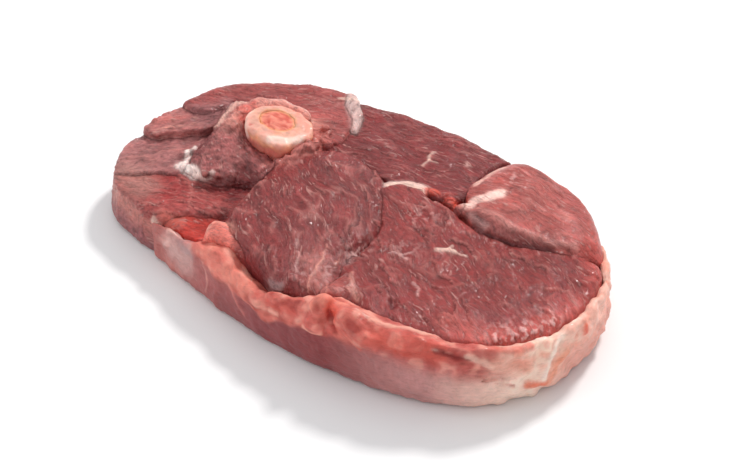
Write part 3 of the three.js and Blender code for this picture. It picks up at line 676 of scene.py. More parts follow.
class Muscle:
    """One muscle of the cut face: its distance in plan, its face and its edge, as grids."""

    MARGIN = 3.5       # round its outline, where it is worked out
    FAR = 4.0          # the distance that it has past that margin
    SOFT_EDGE = 2      # edges with a smaller radius are tighter in some places

    def __init__(self, name):
        m = MUSCLES[name]
        self.swell = m["swell"]
        self.tuck = TUCK.get(name, 0)
        self.edge = m["edge"] * (tightness if m["edge"] < self.SOFT_EDGE else 1 + 0 * tightness)
        loop = smooth_outline(m["outline"], 8)
        low = steak.to_index(np.append(loop.min(0) - self.MARGIN, 0)).astype(int)
        high = steak.to_index(np.append(loop.max(0) + self.MARGIN, 0)).astype(int) + 1
        self.box = tuple(slice(max(low[k], 0), min(high[k], steak.x.shape[k])) for k in (0, 1))
        x, y = steak.x + waver_x, steak.y + waver_y
        near, _ = plan_distance(loop, x[self.box], y[self.box])
        self.distance = np.full(x.shape, self.FAR)
        self.distance[self.box] = near
        heart = np.mean(m["outline"], 0)
        dome = smooth(0, 1, np.clip(self.distance / near.min(), 0, 1) ** 0.7)
        rise = m["tilt"][0] * (steak.x - heart[0]) + m["tilt"][1] * (steak.y - heart[1])
        face = m["top"] + rise + m["crown"] * dome + undulation
        self.face = join(face, roof, ROOF_JOIN)

    def field(self, distance, face, edge, z):
        """The muscle's field, with its side swelling out over the cleft."""
        drop = face - z
        out = distance - self.tuck - self.swell * (smooth(0, edge, drop) - 0.6)
        return both(out, -drop, edge)

    def block(self):
        """The field on the lattice, in the muscle's own box."""
        flat = (grid[self.box][..., None] for grid in (self.distance, self.face, self.edge))
        return self.field(*flat, steak.z)

    def at(self, p):
        """The field at points p."""
        flat = (steak.read(grid, p) for grid in (self.distance, self.face, self.edge))
        return self.field(*flat, p[:, 2])


muscles = {name: Muscle(name) for name in MUSCLES}


def blob(centre, size, turn, x, y, z):
    """Roughly the distance to an ellipsoid."""
    c, s = math.cos(math.radians(turn)), math.sin(math.radians(turn))
    dx, dy, dz = x - centre[0], y - centre[1], z - centre[2]
    u, v = (c * dx + s * dy) / size[0], (c * dy - s * dx) / size[1]
    return (np.sqrt(u * u + v * v + (dz / size[2]) ** 2) - 1) * min(size)


def add_blobs(whole, blobs, lattice, scoop=False):
    """Runs lumps into a field, or scoops them out of it."""
    for centre, size, turn, softness in blobs:
        reach = max(size[:2]) + 2
        low = np.maximum(lattice.to_index(np.subtract(centre, reach)).astype(int), 0)
        high = lattice.to_index(np.add(centre, reach)).astype(int) + 1
        box = tuple(slice(low[k], high[k]) for k in range(3))
        x, y = lattice.x[box[:2]][..., None], lattice.y[box[:2]][..., None]
        lump = blob(centre, size, turn, x, y, lattice.z[..., box[2]])
        if scoop:
            whole[box] = -join(-whole[box], lump, softness)
        else:
            whole[box] = join(whole[box], lump, softness)
    return whole


def outer_lean(z):
    """How far in the outer wall stands at height z."""
    lean = wall_lean * bareness
    return lean[..., None] * smooth(0, 16, z) + foot_turn(
        z, foot_reach[..., None], foot_height[..., None])


def crumbs():
    """Lumps of random size strewn along the lines of CRUMBS."""
    rng = np.random.default_rng(5)
    lumps = []
    for count, least, most, line in CRUMBS:
        line = np.asarray(line, float)
        for _ in range(count):
            place = rng.uniform(0, len(line) - 1)
            i = int(place)
            spot = mix(line[i], line[i + 1], place - i) + rng.normal(size=3) * (0.9, 0.9, 0.4)
            size = rng.uniform(least, most) * rng.uniform(0.75, 1.3, 3)
            lumps.append((tuple(spot), tuple(size), rng.uniform(0, 180), 0.5))
    return lumps


def meat_field():
    """All the muscles run together, inside the outer wall and round the bone."""
    z = steak.z
    whole = np.broadcast_to(z - BASE_TOP, steak.x.shape + (z.size,)).astype(np.float32)
    for m in muscles.values():
        whole[m.box] = join(whole[m.box], m.block(), MUSCLE_JOIN)
    whole = add_blobs(whole, MEAT_BLOBS + crumbs(), steak)
    whole = add_blobs(whole, MEAT_HOLLOWS, steak, scoop=True)
    bare = bareness[..., None]
    wall = (out_distance + fat_width)[..., None] + outer_lean(z) * bare
    wall = wall + foot_turn(z, 2.0, 3.0) * 0.3 * (1 - bare)     # behind the fat
    whole = both(whole, wall, around(MEAT_EDGE, out_place)[..., None])
    whole = np.maximum(whole, MEAT_FOOT - z)
    return np.maximum(whole, -(bone_distance[..., None] + bone_taper(z) + BONE_GAP))


def bone_taper(z):
    """How much narrower the bone is at height z than at its top."""
    return BONE_TAPER * smooth(26, 17, z)


def fat_face():
    """Height of the fat roll's surface, from its outer wall over its crest to its inner side."""
    across = -out_distance / np.maximum(fat_width, 0.01)
    shares = np.array([s for s, _ in FAT_PROFILE])
    ups = np.array([u for _, u in FAT_PROFILE])
    crest = around(FAT_CREST, out_place) + undulation + 0.5 * steak.noise(7, 12)
    outer = crest * np.interp(across, shares, ups)
    return outer - around(FAT_DIP, out_place) * smooth(0.5, 1.0, across)


def fat_field():
    """The layer of fat between its outer wall and the meat, from one end to the other."""
    z = steak.z
    ends = np.maximum(FAT_START - out_place, out_place - FAT_END) * ROUND
    outer = out_distance[..., None] + outer_lean(z)
    foot = around(BAND_FOOT, out_place) + 1.2 * steak.noise(6, 13)
    outer = outer + around(BAND_STEP, out_place)[..., None] * smooth(0.9, -0.9, z - foot[..., None])
    body = both(z - fat_face()[..., None], outer, 1.0)
    body = add_blobs(body, FAT_BLOBS, steak)
    body = add_blobs(body, FAT_HOLLOWS, steak, scoop=True)
    body = both(body, -(out_distance + fat_width + FAT_TUCK)[..., None], 0.8)
    body = both(body, ends[..., None] + 0 * z, 1.5)
    return np.maximum(body, FAT_FOOT - z)


# ---- From a field to a mesh -----------------------------------------------------------------

def read_lattice(field, p):
    """Trilinear value of a field at index positions p."""
    q = np.clip(p, 0, np.array(field.shape) - 1.001)
    i = q.astype(int)
    t = q - i
    total = 0
    for corner in np.ndindex(2, 2, 2):
        share = np.where(corner, t, 1 - t).prod(1)
        total = total + share * field[tuple((i + corner).T)]
    return total


def surface_of(field):
    """Vertices, in lattice steps, and quads of the surface where the field is zero."""
    inside = field < 0
    shape = np.array(field.shape)
    cells, spots = [], []
    for axis in range(3):
        low = [slice(None)] * 3
        high = [slice(None)] * 3
        low[axis], high[axis] = slice(0, -1), slice(1, None)
        edge = np.argwhere(inside[tuple(low)] != inside[tuple(high)])
        u, v = [k for k in range(3) if k != axis]
        keep = ((edge[:, [u, v]] >= 1) & (edge[:, [u, v]] < shape[[u, v]] - 1)).all(1)
        edge = edge[keep]
        ahead = edge.copy()
        ahead[:, axis] += 1
        a, b = field[tuple(edge.T)], field[tuple(ahead.T)]
        spot = edge.astype(float)
        spot[:, axis] += a / (a - b)
        ring = []
        for du, dv in ((-1, -1), (0, -1), (0, 0), (-1, 0)):
            cell = edge.copy()
            cell[:, u] += du
            cell[:, v] += dv
            ring.append(np.ravel_multi_index(cell.T, field.shape))
        ring = np.stack(ring, 1)
        turned = (a > 0) ^ (axis == 1)
        ring[turned] = ring[turned, ::-1]
        cells.append(ring)
        spots.append(np.repeat(spot, 4, 0))
    cells = np.concatenate(cells)
    spots = np.concatenate(spots)
    ids, index = np.unique(cells.ravel(), return_inverse=True)
    count = np.bincount(index)
    verts = np.stack([np.bincount(index, spots[:, k]) / count for k in range(3)], 1)
    return verts, index.reshape(-1, 4)


def settle(field, verts, rounds=2):
    """Moves vertices onto the surface, and returns them with the outward normals."""
    slopes = np.gradient(field)
    for _ in range(rounds):
        slope = np.stack([read_lattice(s, verts) for s in slopes], 1)
        step = read_lattice(field, verts) / np.maximum((slope ** 2).sum(1), 0.02)
        verts = verts - slope * np.clip(step, -0.6, 0.6)[:, None]
    slope = np.stack([read_lattice(s, verts) for s in slopes], 1)
    return verts, slope / np.maximum(np.linalg.norm(slope, axis=1), 1e-6)[:, None]


def mesh_from(name, verts, faces):
    """A smooth mesh from arrays of vertices and of faces with equally many corners."""
    mesh = bpy.data.meshes.new(name)
    corners = faces.shape[1]
    mesh.vertices.add(len(verts))
    mesh.vertices.foreach_set("co", verts.astype(np.float32).ravel())
    mesh.loops.add(faces.size)
    mesh.loops.foreach_set("vertex_index", faces.astype(np.int32).ravel())
    mesh.polygons.add(len(faces))
    mesh.polygons.foreach_set("loop_start", np.arange(0, faces.size, corners, dtype=np.int32))
    mesh.polygons.foreach_set("use_smooth", np.ones(len(faces), bool))
    mesh.update(calc_edges=True)
    mesh.validate()
    return mesh


def thinned(name, verts, faces, hidden):
    """The piece with few of its hidden faces left, and about MOST_TRIANGLES at the most."""
    mesh = mesh_from(name, verts, faces)
    piece = bpy.data.objects.new(name, mesh)
    bpy.context.scene.collection.objects.link(piece)
    group = piece.vertex_groups.new(name="hidden")
    group.add([int(i) for i in np.nonzero(hidden)[0]], 1.0, "REPLACE")
    modifier = piece.modifiers.new("thin", "DECIMATE")
    share = 1 - hidden[faces].all(1).mean() * (1 - HIDDEN_KEEP)
    limit = MOST_TRIANGLES / (2 * len(faces))
    if limit < share:
        group.add([int(i) for i in np.nonzero(~hidden)[0]], 0.1, "REPLACE")
    modifier.ratio = min(share, limit)
    modifier.vertex_group = "hidden"
    graph = bpy.context.evaluated_depsgraph_get()
    done = bpy.data.meshes.new_from_object(piece.evaluated_get(graph))
    piece.modifiers.clear()
    piece.vertex_groups.clear()
    piece.data = done
    bpy.data.meshes.remove(mesh)
    done.name = name
    return piece


def solid_piece(name, field, lattice, hide):
    """The piece round a field, its points and their normals. hide(points) says which points
    don't show."""
    verts, faces = surface_of(field)
    verts, _ = settle(field, verts)
    p = lattice.to_mm(verts)
    piece = thinned(name, p, faces, hide(p))
    co = np.zeros(len(piece.data.vertices) * 3, np.float32)
    piece.data.vertices.foreach_get("co", co)
    index, normal = settle(field, lattice.to_index(co.reshape(-1, 3).astype(float)), 1)
    return piece, lattice.to_mm(index), normal


def shape_piece(piece, p, normal, lift):
    """Raises the points by lift along the normals, except at the foot, and puts the piece in
    its place."""
    raised = (p + SHIFT + normal * (lift * smooth(*STILL_FOOT, p[:, 2]))[:, None]) * MM
    piece.data.vertices.foreach_set("co", raised.astype(np.float32).ravel())
    piece.data.update()


def paint(piece, name, values):
    """Stores values at the piece's points, for the materials."""
    kind, key = {1: ("FLOAT", "value"), 3: ("FLOAT_VECTOR", "vector"),
                 4: ("FLOAT_COLOR", "color")}[values.shape[1] if values.ndim > 1 else 1]
    attribute = piece.data.attributes.new(name, kind, "POINT")
    attribute.data.foreach_set(key, values.astype(np.float32).ravel())


def finish(piece, p, normal, lift, tint, grain):
    """Shapes the piece and stores its colour and the coordinates of its fibres."""
    shape_piece(piece, p, normal, lift)
    paint(piece, "tint", np.concatenate([np.clip(tint, 0, 1), np.ones((len(tint), 1))], 1))
    paint(piece, "grain", grain)
    return piece


# ---- Marks: seams, veins, folds and patches -------------------------------------------------

def distance_to_line(p, line):
    """Distance from each point to a line through two or more points, or to a single one."""
    line = np.asarray(line, float)
    if len(line) == 1:
        return np.linalg.norm(p - line[0], axis=1)
    best = np.full(len(p), np.inf)
    for a, b in zip(line[:-1], line[1:]):
        ab = b - a
        t = np.clip((p - a) @ ab / (ab @ ab), 0, 1)
        best = np.minimum(best, np.linalg.norm(p - a - t[:, None] * ab, axis=1))
    return best


def mark(p, tint, lift, marks, flat=1.0):
    """Paints and raises marks: (colour, strength, width, rise, hardness, line). flat is how much
    a difference in height counts as distance."""
    squash = np.array([1, 1, flat])
    ragged = p + np.stack([0.7 * noise(p, 3.5, 60), 0.7 * noise(p, 3.5, 61),
                           0.5 * noise(p, 3.5, 62)], 1)
    for colour, strength, width, rise, hard, line in marks:
        corners = np.asarray(line, float)
        reach = 2.6 * width + 1.5
        near = ((p > corners.min(0) - reach) & (p < corners.max(0) + reach)).all(1)
        i = np.nonzero(near)[0]
        if not len(i):
            continue
        rough = noise(p[i], max(1.2, width), 63)
        far = distance_to_line(ragged[i] * squash, corners * squash) / width
        far = far + 0.35 * rough * hard
        share = mix(np.exp(-far ** 2), smooth(1.25, 0.8, far), hard)
        tint[i] = mix(tint[i], linear(colour), np.clip(strength * share, 0, 1)[:, None])
        lift[i] += rise * share
    return tint, lift


# ---- Lean meat ------------------------------------------------------------------------------

def hidden_meat(p):
    out = steak.read(out_distance + fat_width, p)
    under_fat = (steak.read(bareness, p) < 0.5) & (out > -0.8)
    under_fat &= p[:, 2] < steak.read(border, p) - CONTACT_DEPTH
    in_bone = (steak.read(bone_distance, p) < 0.6) & (p[:, 2] < HOLE_HIDDEN)
    return (p[:, 2] < MEAT_HIDDEN) | in_bone | under_fat


def muscle_looks(p):
    """What each point takes from the muscles nearest to it, and its distance from a seam."""
    fields = np.stack([m.at(p) for m in muscles.values()], 1)
    order = np.sort(fields, 1)
    weight = np.exp(-(fields - order[:, :1]) / SEAM_BLEND)
    weight /= weight.sum(1)[:, None]
    table = list(MUSCLES.values())
    looks = {key: weight @ np.array([m[key] for m in table])
             for key in ("top", "silver", "crease", "crumb")}
    looks["tint"] = weight @ np.stack([linear(m["colour"]) for m in table])
    looks["seam"] = order[:, 1] - order[:, 0]
    looks["nearest"] = fields.argmin(1)
    return looks


def fibre_grain(p, nearest):
    """Coordinates whose X runs along the fibres, in another stretch of noise for each muscle."""
    angle = np.radians([m["grain"] for m in MUSCLES.values()])[nearest]
    along = p[:, 0] * np.cos(angle) + p[:, 1] * np.sin(angle)
    across = -p[:, 0] * np.sin(angle) + p[:, 1] * np.cos(angle)
    across = across + 2.6 * noise(p, 17, 21) + 0.9 * noise(p, 6, 22)
    return np.stack([along, across, p[:, 2] + 13.0 * nearest], 1)


def cut_relief(p, grain, looks, top):
    """How far the cut face is raised, and the patterns of it that show in its colour too:
    creases and fibres, broken steps across the fibres with painted light and shade, and places
    that glint, with a painted highlight."""
    bent = grain + np.stack([1.8 * noise(p, 5.0, 65), 0.9 * noise(p, 5.0, 66), 0 * top], 1)
    crest = np.clip(1 - np.abs(noise(bent, (13.0, 5.5, 8.0), 31)) * 5, 0, 1) ** 1.5
    crest = crest * smooth(-0.3, 0.3, noise(p, 7.0, 69))
    strand = noise(bent, (6.0, 1.3, 3.0), 32)
    stair = grain[:, 1] / 5.5 + 1.1 * noise(bent, (20.0, 8.0, 12.0), 72) + 0.2 * noise(p, 4.0, 73)
    stair = stair - np.floor(stair)
    broken = smooth(-0.15, 0.35, noise(p, 8.0, 74)) * top
    crumb = np.abs(noise(p, 2.2, 67)) + 0.8 * np.abs(noise(p, 1.3, 68)) - 0.5
    lift = (0.6 * looks["crease"] * crest + 0.12 * strand + 0.2 * noise(p, 4.5, 33)) * top
    lift += 1.6 * looks["crumb"] * crumb + 1.2 * looks["crease"] * broken * (1 - stair)
    glint = np.zeros(len(p))
    nubs = noise(bent, (2.2, 1.2, 1.6), 76) + 0.5 * noise(p, 1.0, 77)
    for (x, y), reach, height in ROUGH:
        far = np.hypot(p[:, 0] - x, p[:, 1] - y) / reach
        lift += height * np.exp(-far ** 2) * nubs * top
        glint = np.maximum(glint, height * np.exp(-far ** 2) * smooth(0.06, 0.26, nubs) * top)
    return lift, dict(bent=bent, crest=crest, strand=strand, stair=stair, broken=broken,
                      glint=glint)


def meat_tint(p, normal, looks, top, pattern):
    """The colour of the muscles, painted shade in their seams, painted light and shade on their
    broken steps, and the bare outer wall.
    """
    strand, stair, broken = (pattern[key] for key in ("strand", "stair", "broken"))
    dull = noise(pattern["bent"], (15.0, 3.4, 8.0), 70)
    tint = varied(looks["tint"], (0.16 * strand + 0.22 * dull) * top)
    tint = varied(tint, 0.18 * noise(p, 9.0, 35) + 0.08 * noise(p, 3.0, 36))
    creased = smooth(0, 0.4, looks["crease"])
    pale = pattern["crest"] * (0.35 + 0.6 * looks["silver"]) * top
    # Painted highlight: the high lip of each broken step is made paler.
    pale = np.maximum(pale, 0.8 * broken * smooth(0.22, 0.0, stair) * creased)
    tint = washed(tint, STREAK_AND_LIT_PINK, 0.5 * pale)
    # Painted shade: the low side before each broken step's riser is made darker.
    tint = varied(tint, -0.45 * broken * smooth(0.8, 1.0, stair) * creased)
    rim = steak.read(out_distance + fat_width, p)
    place = steak.read(out_place, p)
    edge = smooth(-10.0, -1.0, rim) * smooth(0.39, 0.44, place) * smooth(0.63, 0.58, place)
    tint = washed(tint, MEAT_RIM, 0.75 * edge * smooth(0.1, 0.4, normal[:, 2]))
    # Painted shade: the seams between the muscles are darkened, the more the deeper they lie below
    # the faces.
    cleft_shade = smooth(1.3, 0.2, looks["seam"]) * top
    tint = washed(tint, CLEFT_SHADE_RED, 0.6 * cleft_shade * smooth(0.3, 2.2, looks["top"] - p[:, 2]))
    side = smooth(0.5, 0.1, normal[:, 2]) * smooth(-3.5, -1.0, steak.read(out_distance, p))
    pinker = smooth(5, 11, p[:, 2] + 2 * noise(p, 4.5, 33))
    wall = mix(linear(SIDE_MAUVE), linear(SIDE_PINK), pinker[:, None])
    tint = mix(tint, wall, (0.92 * side)[:, None])
    return varied(tint, looks["crumb"] * (0.8 * noise(p, 1.7, 78) - 0.15))


def build_meat():
    piece, p, normal = solid_piece("lean_meat", meat_field(), steak, hidden_meat)
    top = smooth(0.35, 0.8, normal[:, 2])
    looks = muscle_looks(p)
    grain = fibre_grain(p, looks["nearest"])
    lift, pattern = cut_relief(p, grain, looks, top)
    tint = meat_tint(p, normal, looks, top, pattern)
    tint, lift = mark(p, tint, lift, MEAT_MARKS, 0.4)
    # Painted highlight: pale streaks washed over the rough places that glint.
    tint = washed(tint, PALE_WISP_AND_HIGHLIGHT, np.clip(1.5 * pattern["glint"], 0, 0.75))
    return finish(piece, p, normal, lift, tint, grain)


# ---- Outside fat ----------------------------------------------------------------------------

def hidden_fat(p):
    out = steak.read(out_distance + fat_width, p)
    against_meat = (out < -0.1) & (p[:, 2] < steak.read(border, p) - CONTACT_DEPTH)
    return (p[:, 2] < FAT_HIDDEN) | against_meat


def fat_tint(p, place, lump):
    """The colour of the wall and of the band over it, round the outline."""
    foot = around(BAND_FOOT, place) + 1.2 * noise(p * (1, 1, 0), 6.0, 13)
    soft = 0.9 + 3.0 * smooth(0.335, 0.37, place)
    high = smooth(-soft, soft, p[:, 2] - foot)
    places, colours = zip(*WALL_COLOURS)
    wall = np.stack([np.interp(place, places, c) for c in linear(colours).T], 1)
    pinker = smooth(0.43, 0.475, place + 0.015 * lump)
    rough = noise(p, 5.0, 45) + 0.8 * noise(p, 2.8, 42)
    band = mix(linear(BAND_SALMON), linear(WALL_CREAM), pinker[:, None])
    band = washed(band, BAND_DULL, 0.7 * (1 - pinker) * smooth(0.34, 0.38, place))
    band = washed(band, END_PINK, 0.8 * smooth(0.485, 0.53, place))
    band = washed(band, LIP_PINK, 0.6 * smooth(0.15, 0.8, rough))
    band = washed(band, BAND_RED, 0.7 * (1 - pinker) * smooth(0.05, -0.7, rough))
    band = washed(band, SKIN_PINK, 0.5 * pinker * smooth(0.0, -0.6, rough))
    tint = mix(wall, band, high[:, None])
    return varied(tint, 0.1 * noise(p, 5.0, 43) + 0.06 * noise(p, 1.6, 44))


def build_fat():
    piece, p, normal = solid_piece("outside_fat", fat_field(), steak, hidden_fat)
    place = steak.read(out_place, p)
    out = steak.read(out_distance, p)
    grain = np.stack([place * ROUND, out + p[:, 2] * 0.7, p[:, 2]], 1)
    lump = noise(p, 6.0, 41)
    lift = 0.4 * lump + 0.36 * noise(p, 2.8, 42) + 0.12 * noise(p, 1.3, 46)
    lift += 0.9 * noise(p, (4.5, 4.5, 3.2), 80) * smooth(0.42, 0.46, place)
    tint, lift = mark(p, fat_tint(p, place, lump), lift, FAT_MARKS)
    tint = washed(tint, FAT_END_RED, smooth(FAT_START + FAT_END_FADE, FAT_START + 0.002, place))
    return finish(piece, p, normal, lift, tint, grain)


# ---- Bone and marrow ------------------------------------------------------------------------

def build_bone():
    box = Lattice(POST_LOW, POST_HIGH, POST_STEP)
    outer, _ = plan_distance(post_loop(BONE), box.x, box.y)
    inner, _ = plan_distance(post_loop(MARROW, -0.15), box.x, box.y)
    z = box.z
    wavy = 1.0 * box.noise(6, 51) + 0.6 * box.noise(2.5, 52)
    top = BONE["top"] - 0.25 + 0.5 * wavy
    side = (outer + 0.5 * wavy)[..., None] + bone_taper(z)
    field = both(side, z - top[..., None], 1.5)
    field = both(field, -(inner + 0.12 * wavy)[..., None] + 0 * z, 0.25)
    field = np.maximum(field, BONE_FOOT - z)

    def hide(p):
        round_marrow = (box.read(inner, p) < 0.6) & (p[:, 2] < MARROW_HIDDEN)
        return (p[:, 2] < BONE_HIDDEN) | round_marrow

    piece, p, normal = solid_piece("bone_ring", field, box, hide)
    out, into = box.read(outer, p), box.read(inner, p)
    lift = 0.4 * noise(p, 3.0, 53) + 0.15 * noise(p, 1.2, 54)
    tint = np.tile(linear(BONE_CREAM), (len(p), 1))
    rim = smooth(-2.6, -0.6, out + 0.5 * noise(p, 2.5, 55))
    tint = washed(tint, BONE_RIM, 0.55 * rim)
    lining = smooth(1.0, 0.2, into) * smooth(25, 27.5, p[:, 2])
    tint = washed(tint, BONE_LINING, 0.6 * lining)
    low = smooth(29.2, 23.0, p[:, 2] + 1.2 * noise(p, 4.0, 56))
    flank = mix(linear(BONE_FLANK), linear(BONE_LOW), smooth(0.4, 0.9, low)[:, None])
    tint = mix(tint, flank, smooth(0.0, 0.5, low)[:, None])
    tint = washed(tint, BONE_PINK, 0.6 * smooth(0.0, 0.6, noise(p, 4.0, 75)))
    tint = varied(tint, 0.14 * noise(p, 2.0, 57))
    tint, lift = mark(p, tint, lift, BONE_MARKS)
    return finish(piece, p, normal, lift, tint, p)


def build_marrow():
    box = Lattice(PLUG_LOW, PLUG_HIGH, POST_STEP)
    outer, _ = plan_distance(post_loop(MARROW, 0.05), box.x, box.y)
    top = MARROW["top"] + 0.3 * smooth(0, -4, outer) + 0.25 * box.noise(3, 58)
    z = box.z
    field = both(outer[..., None] + 0 * z, z - top[..., None], 0.3)
    field = np.maximum(field, MARROW_FOOT - z)
    piece, p, normal = solid_piece("marrow_plug", field, box, lambda p: p[:, 2] < MARROW_HIDDEN)
    swirl = noise(p + 1.5 * noise(p, 4, 59)[:, None], (2.6, 1.4, 2.0), 64)
    lift = 0.12 * swirl
    tint = mix(linear(MARROW_RED), linear(MARROW_PALE), smooth(-0.5, 0.6, swirl)[:, None])
    edge = smooth(-1.4, -0.2, box.read(outer, p))
    tint = washed(tint, MARROW_EDGE, 0.6 * edge)
    return finish(piece, p, normal, lift, tint, p)


# ---- Materials ------------------------------------------------------------------------------

class Nodes:
    """A short way to write a node tree."""

    def __init__(self, name):
        self.material = bpy.data.materials.new(name)
        self.material.use_nodes = True
        self.tree = self.material.node_tree
        self.shader = self.tree.nodes["Principled BSDF"]

    def put(self, socket, value):
        if hasattr(value, "is_output"):
            self.tree.links.new(value, socket)
        else:
            socket.default_value = value

    def add(self, kind, inputs, **settings):
        node = self.tree.nodes.new(kind)
        for key, value in settings.items():
            setattr(node, key, value)
        for key, value in inputs.items():
            self.put(node.inputs[key], value)
        return node

    def attribute(self, name, output="Vector"):
        return self.add("ShaderNodeAttribute", {}, attribute_name=name).outputs[output]

    def scaled(self, vector, scale):
        return self.add("ShaderNodeMapping", {"Vector": vector, "Scale": scale}).outputs[0]

    def noise(self, vector, scale, detail=3.0, roughness=0.55, output="Fac"):
        texture = {"Vector": self.scaled(vector, scale), "Scale": 1.0, "Detail": detail,
                   "Roughness": roughness}
        return self.add("ShaderNodeTexNoise", texture).outputs[output]

    def wander(self, vector, scale, reach):
        """The coordinates pushed about by a slow noise."""
        push = self.noise(vector, scale, 1.0, 0.5, "Color")
        push = self.add("ShaderNodeVectorMath", {0: push, 1: (0.5, 0.5, 0.5)},
                        operation="SUBTRACT").outputs[0]
        return self.add("ShaderNodeVectorMath", {0: push, 1: (reach,) * 3, 2: vector},
                        operation="MULTIPLY_ADD").outputs[0]

    def times(self, a, b):
        return self.add("ShaderNodeMath", {0: a, 1: b}, operation="MULTIPLY").outputs[0]

    def plus(self, a, b):
        return self.add("ShaderNodeMath", {0: a, 1: b}, operation="ADD").outputs[0]

    def bump(self, height, distance):
        return self.add("ShaderNodeBump", {"Strength": 1.0, "Distance": distance * MM,
                                           "Height": height}).outputs["Normal"]

    def spread(self, value, low, high, to_low, to_high):
        return self.add("ShaderNodeMapRange", {
            "Value": value, "From Min": low, "From Max": high,
            "To Min": to_low, "To Max": to_high}).outputs["Result"]

    def blend(self, share, a, b, kind="MIX"):
        return self.add("ShaderNodeMix", {0: share, 6: a, 7: b},
                        data_type="RGBA", blend_type=kind).outputs[2]

    def multiply(self, colour, value):
        grey = self.add("ShaderNodeCombineColor", {"Red": value, "Green": value, "Blue": value})
        return self.blend(1.0, colour, grey.outputs[0], "MULTIPLY")

    def shade(self, values):
        for key, value in values.items():
            self.put(self.shader.inputs[key], value)
        return self.material


STRAND_COLOUR = (0.52, 0.24, 0.21, 1)
LIGHT_REACH = (1.0, 0.32, 0.24)      # of red, green and blue inside the tissue
FINISHES = {
    "lean_skin": dict(streak=0.2, fleck=0.36, lines=0.8, bump=0.6, roughness=(0.42, 0.62),
                      wet=0.45, soft=0.12),
    "fat_skin": dict(streak=0.07, fleck=0.1, lines=0.12, bump=0.42, roughness=(0.36, 0.5),
                     wet=0.25, soft=0.25),
    "bone_skin": dict(streak=0.05, fleck=0.05, lines=0.0, bump=0.12, roughness=(0.36, 0.5),
                      wet=0.3, soft=0.25),
    "marrow_skin": dict(streak=0.08, fleck=0.05, lines=0.0, bump=0.2, roughness=(0.3, 0.45),
                        wet=0.4, soft=0.4),
}


def flesh(name, streak, fleck, lines, bump, roughness, wet, soft):
    """Moist tissue. streak is how strongly the fibres show in the colour, fleck how dark the
    small pits are, lines how much the pale strands show, bump how deep they are in millimetres,
    roughness its lowest and highest, wet the strength of the clear film and soft how much light
    goes in."""
    n = Nodes(name)
    grain = n.wander(n.attribute("grain"), (0.15, 0.25, 0.2), 2.2)
    fibres = n.noise(grain, (0.16, 0.8, 0.5), 4.0, 0.6)
    hairs = n.noise(grain, (0.45, 2.0, 1.3), 3.0, 0.6)
    spots = n.noise(grain, (0.6, 0.9, 0.8), 4.0, 0.7)
    strokes = n.noise(grain, (0.25, 1.25, 0.9), 1.5, 0.5)
    ripples = n.noise(grain, (0.55, 1.2, 1.0), 2.0, 0.55)
    slow = n.noise(grain, (0.09, 0.16, 0.15), 2.0, 0.5)
    shade = n.times(n.spread(fibres, 0.3, 0.7, 1 - streak, 1 + streak),
                    n.spread(hairs, 0.3, 0.7, 1 - 0.8 * streak, 1 + 0.8 * streak))
    shade = n.times(shade, n.spread(spots, 0.32, 0.5, 1 - fleck, 1.05))
    colour = n.multiply(n.attribute("tint", "Color"), shade)
    strand = n.times(n.spread(strokes, 0.58, 0.70, 0, lines),
                    n.spread(slow, 0.45, 0.62, 0.15, 1))
    colour = n.blend(strand, colour, STRAND_COLOUR)
    height = n.plus(fibres, n.times(hairs, 0.3))
    height = n.plus(height, n.times(spots, 0.8))
    height = n.plus(height, n.times(strand, 0.4))
    ripple = n.plus(n.times(fibres, 0.6), ripples)
    return n.shade({
        "Base Color": colour,
        "Roughness": n.spread(spots, 0.3, 0.7, *roughness),
        "Normal": n.bump(height, bump), "Coat Normal": n.bump(ripple, 1.1 * bump),
        "Specular IOR Level": 0.15,
        "Subsurface Weight": soft, "Subsurface Radius": LIGHT_REACH,
        "Subsurface Scale": 1.5 * MM, "IOR": 1.38,
        "Coat Weight": wet, "Coat Roughness": 0.07, "Coat IOR": 1.45,
    })


def dress(piece, finish_name, node):
    """Gives the piece its material and its body, in place of a CAD node."""
    piece.data.materials.append(flesh(finish_name, **FINISHES[finish_name]))
    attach(piece, "root")
    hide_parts(node)


dress(build_meat(), "lean_skin", "meat")
dress(build_fat(), "fat_skin", "outer_fat")
dress(build_bone(), "bone_skin", "bone")
dress(build_marrow(), "marrow_skin", "marrow")

# ---- Stage, light and camera ----------------------------------------------------------------

CAMERA_AZIMUTH, CAMERA_RISE, CAMERA_FAR = 43.0, 38.0, 0.650   # degrees and metres
LENS, SENSOR = 99.57, 36.0
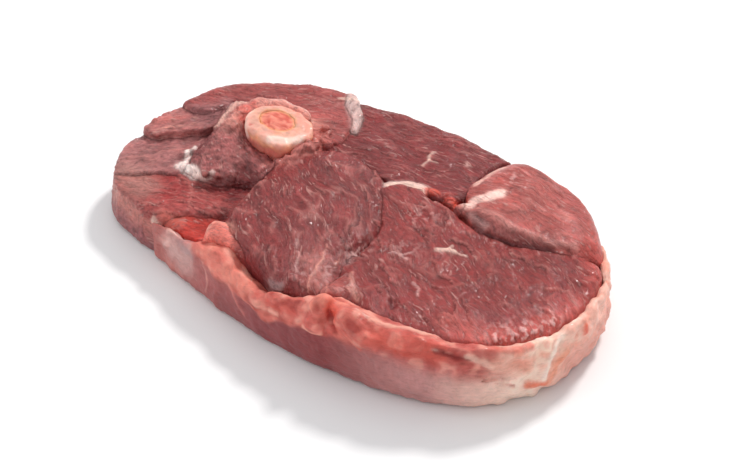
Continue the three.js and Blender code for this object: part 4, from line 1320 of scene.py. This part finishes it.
# Lamps: name, azimuth and rise of their place, distance, size, power and colour.
LAMPS = [
    ("key", 188, 46, 1.1, 0.19, 8.4, (1.0, 0.98, 0.96)),
    ("overhead", 250, 70, 1.0, 1.1, 1.4, (1.0, 1.0, 1.0)),
    ("fill", 318, 24, 1.3, 1.0, 3.4, (0.98, 0.98, 1.0)),
]
SKY_LIGHT = 0.65
SKY_COLOUR = (0.96, 0.98, 1.0, 1)
FLOOR_HALF = 3.0       # metres
FLOOR_COLOUR = (0.9, 0.9, 0.9, 1)
TARGET = Vector((8.55, -2.37, 14.0)) * MM


def direction(azimuth, rise):
    """Towards a place seen at azimuth degrees from the front and rise degrees up."""
    a, e = math.radians(azimuth), math.radians(rise)
    return Vector((math.sin(a) * math.cos(e), -math.cos(a) * math.cos(e), math.sin(e)))


def aimed(name, data, azimuth, rise, far):
    """A lamp or camera that looks at the target from far metres away."""
    thing = bpy.data.objects.new(name, data)
    thing.location = TARGET + direction(azimuth, rise) * far
    thing.rotation_euler = (TARGET - thing.location).to_track_quat("-Z", "Y").to_euler()
    bpy.context.scene.collection.objects.link(thing)
    return thing


def lamp(name, azimuth, rise, far, size, watts, colour):
    data = bpy.data.lights.new(name, "AREA")
    data.shape = "DISK"
    data.size = size
    data.energy = watts
    data.color = colour
    aimed(name, data, azimuth, rise, far)


floor_mesh = bpy.data.meshes.new("floor")
floor_mesh.from_pydata([(x * FLOOR_HALF, y * FLOOR_HALF, 0) for x, y in
                        ((-1, -1), (1, -1), (1, 1), (-1, 1))], [], [(0, 1, 2, 3)])
floor = bpy.data.objects.new("floor", floor_mesh)
bpy.context.scene.collection.objects.link(floor)
floor_mesh.materials.append(Nodes("pale_floor").shade({
    "Base Color": FLOOR_COLOUR, "Roughness": 0.8}))

for settings in LAMPS:
    lamp(*settings)

world = bpy.data.worlds.new("studio")
world.use_nodes = True
sky = world.node_tree.nodes["Background"].inputs
sky["Color"].default_value = SKY_COLOUR
sky["Strength"].default_value = SKY_LIGHT
bpy.context.scene.world = world
bpy.context.scene.view_settings.view_transform = "Standard"

camera_data = bpy.data.cameras.new("camera")
camera_data.sensor_width = SENSOR
camera_data.lens = LENS
bpy.context.scene.camera = aimed("camera", camera_data, CAMERA_AZIMUTH, CAMERA_RISE, CAMERA_FAR)
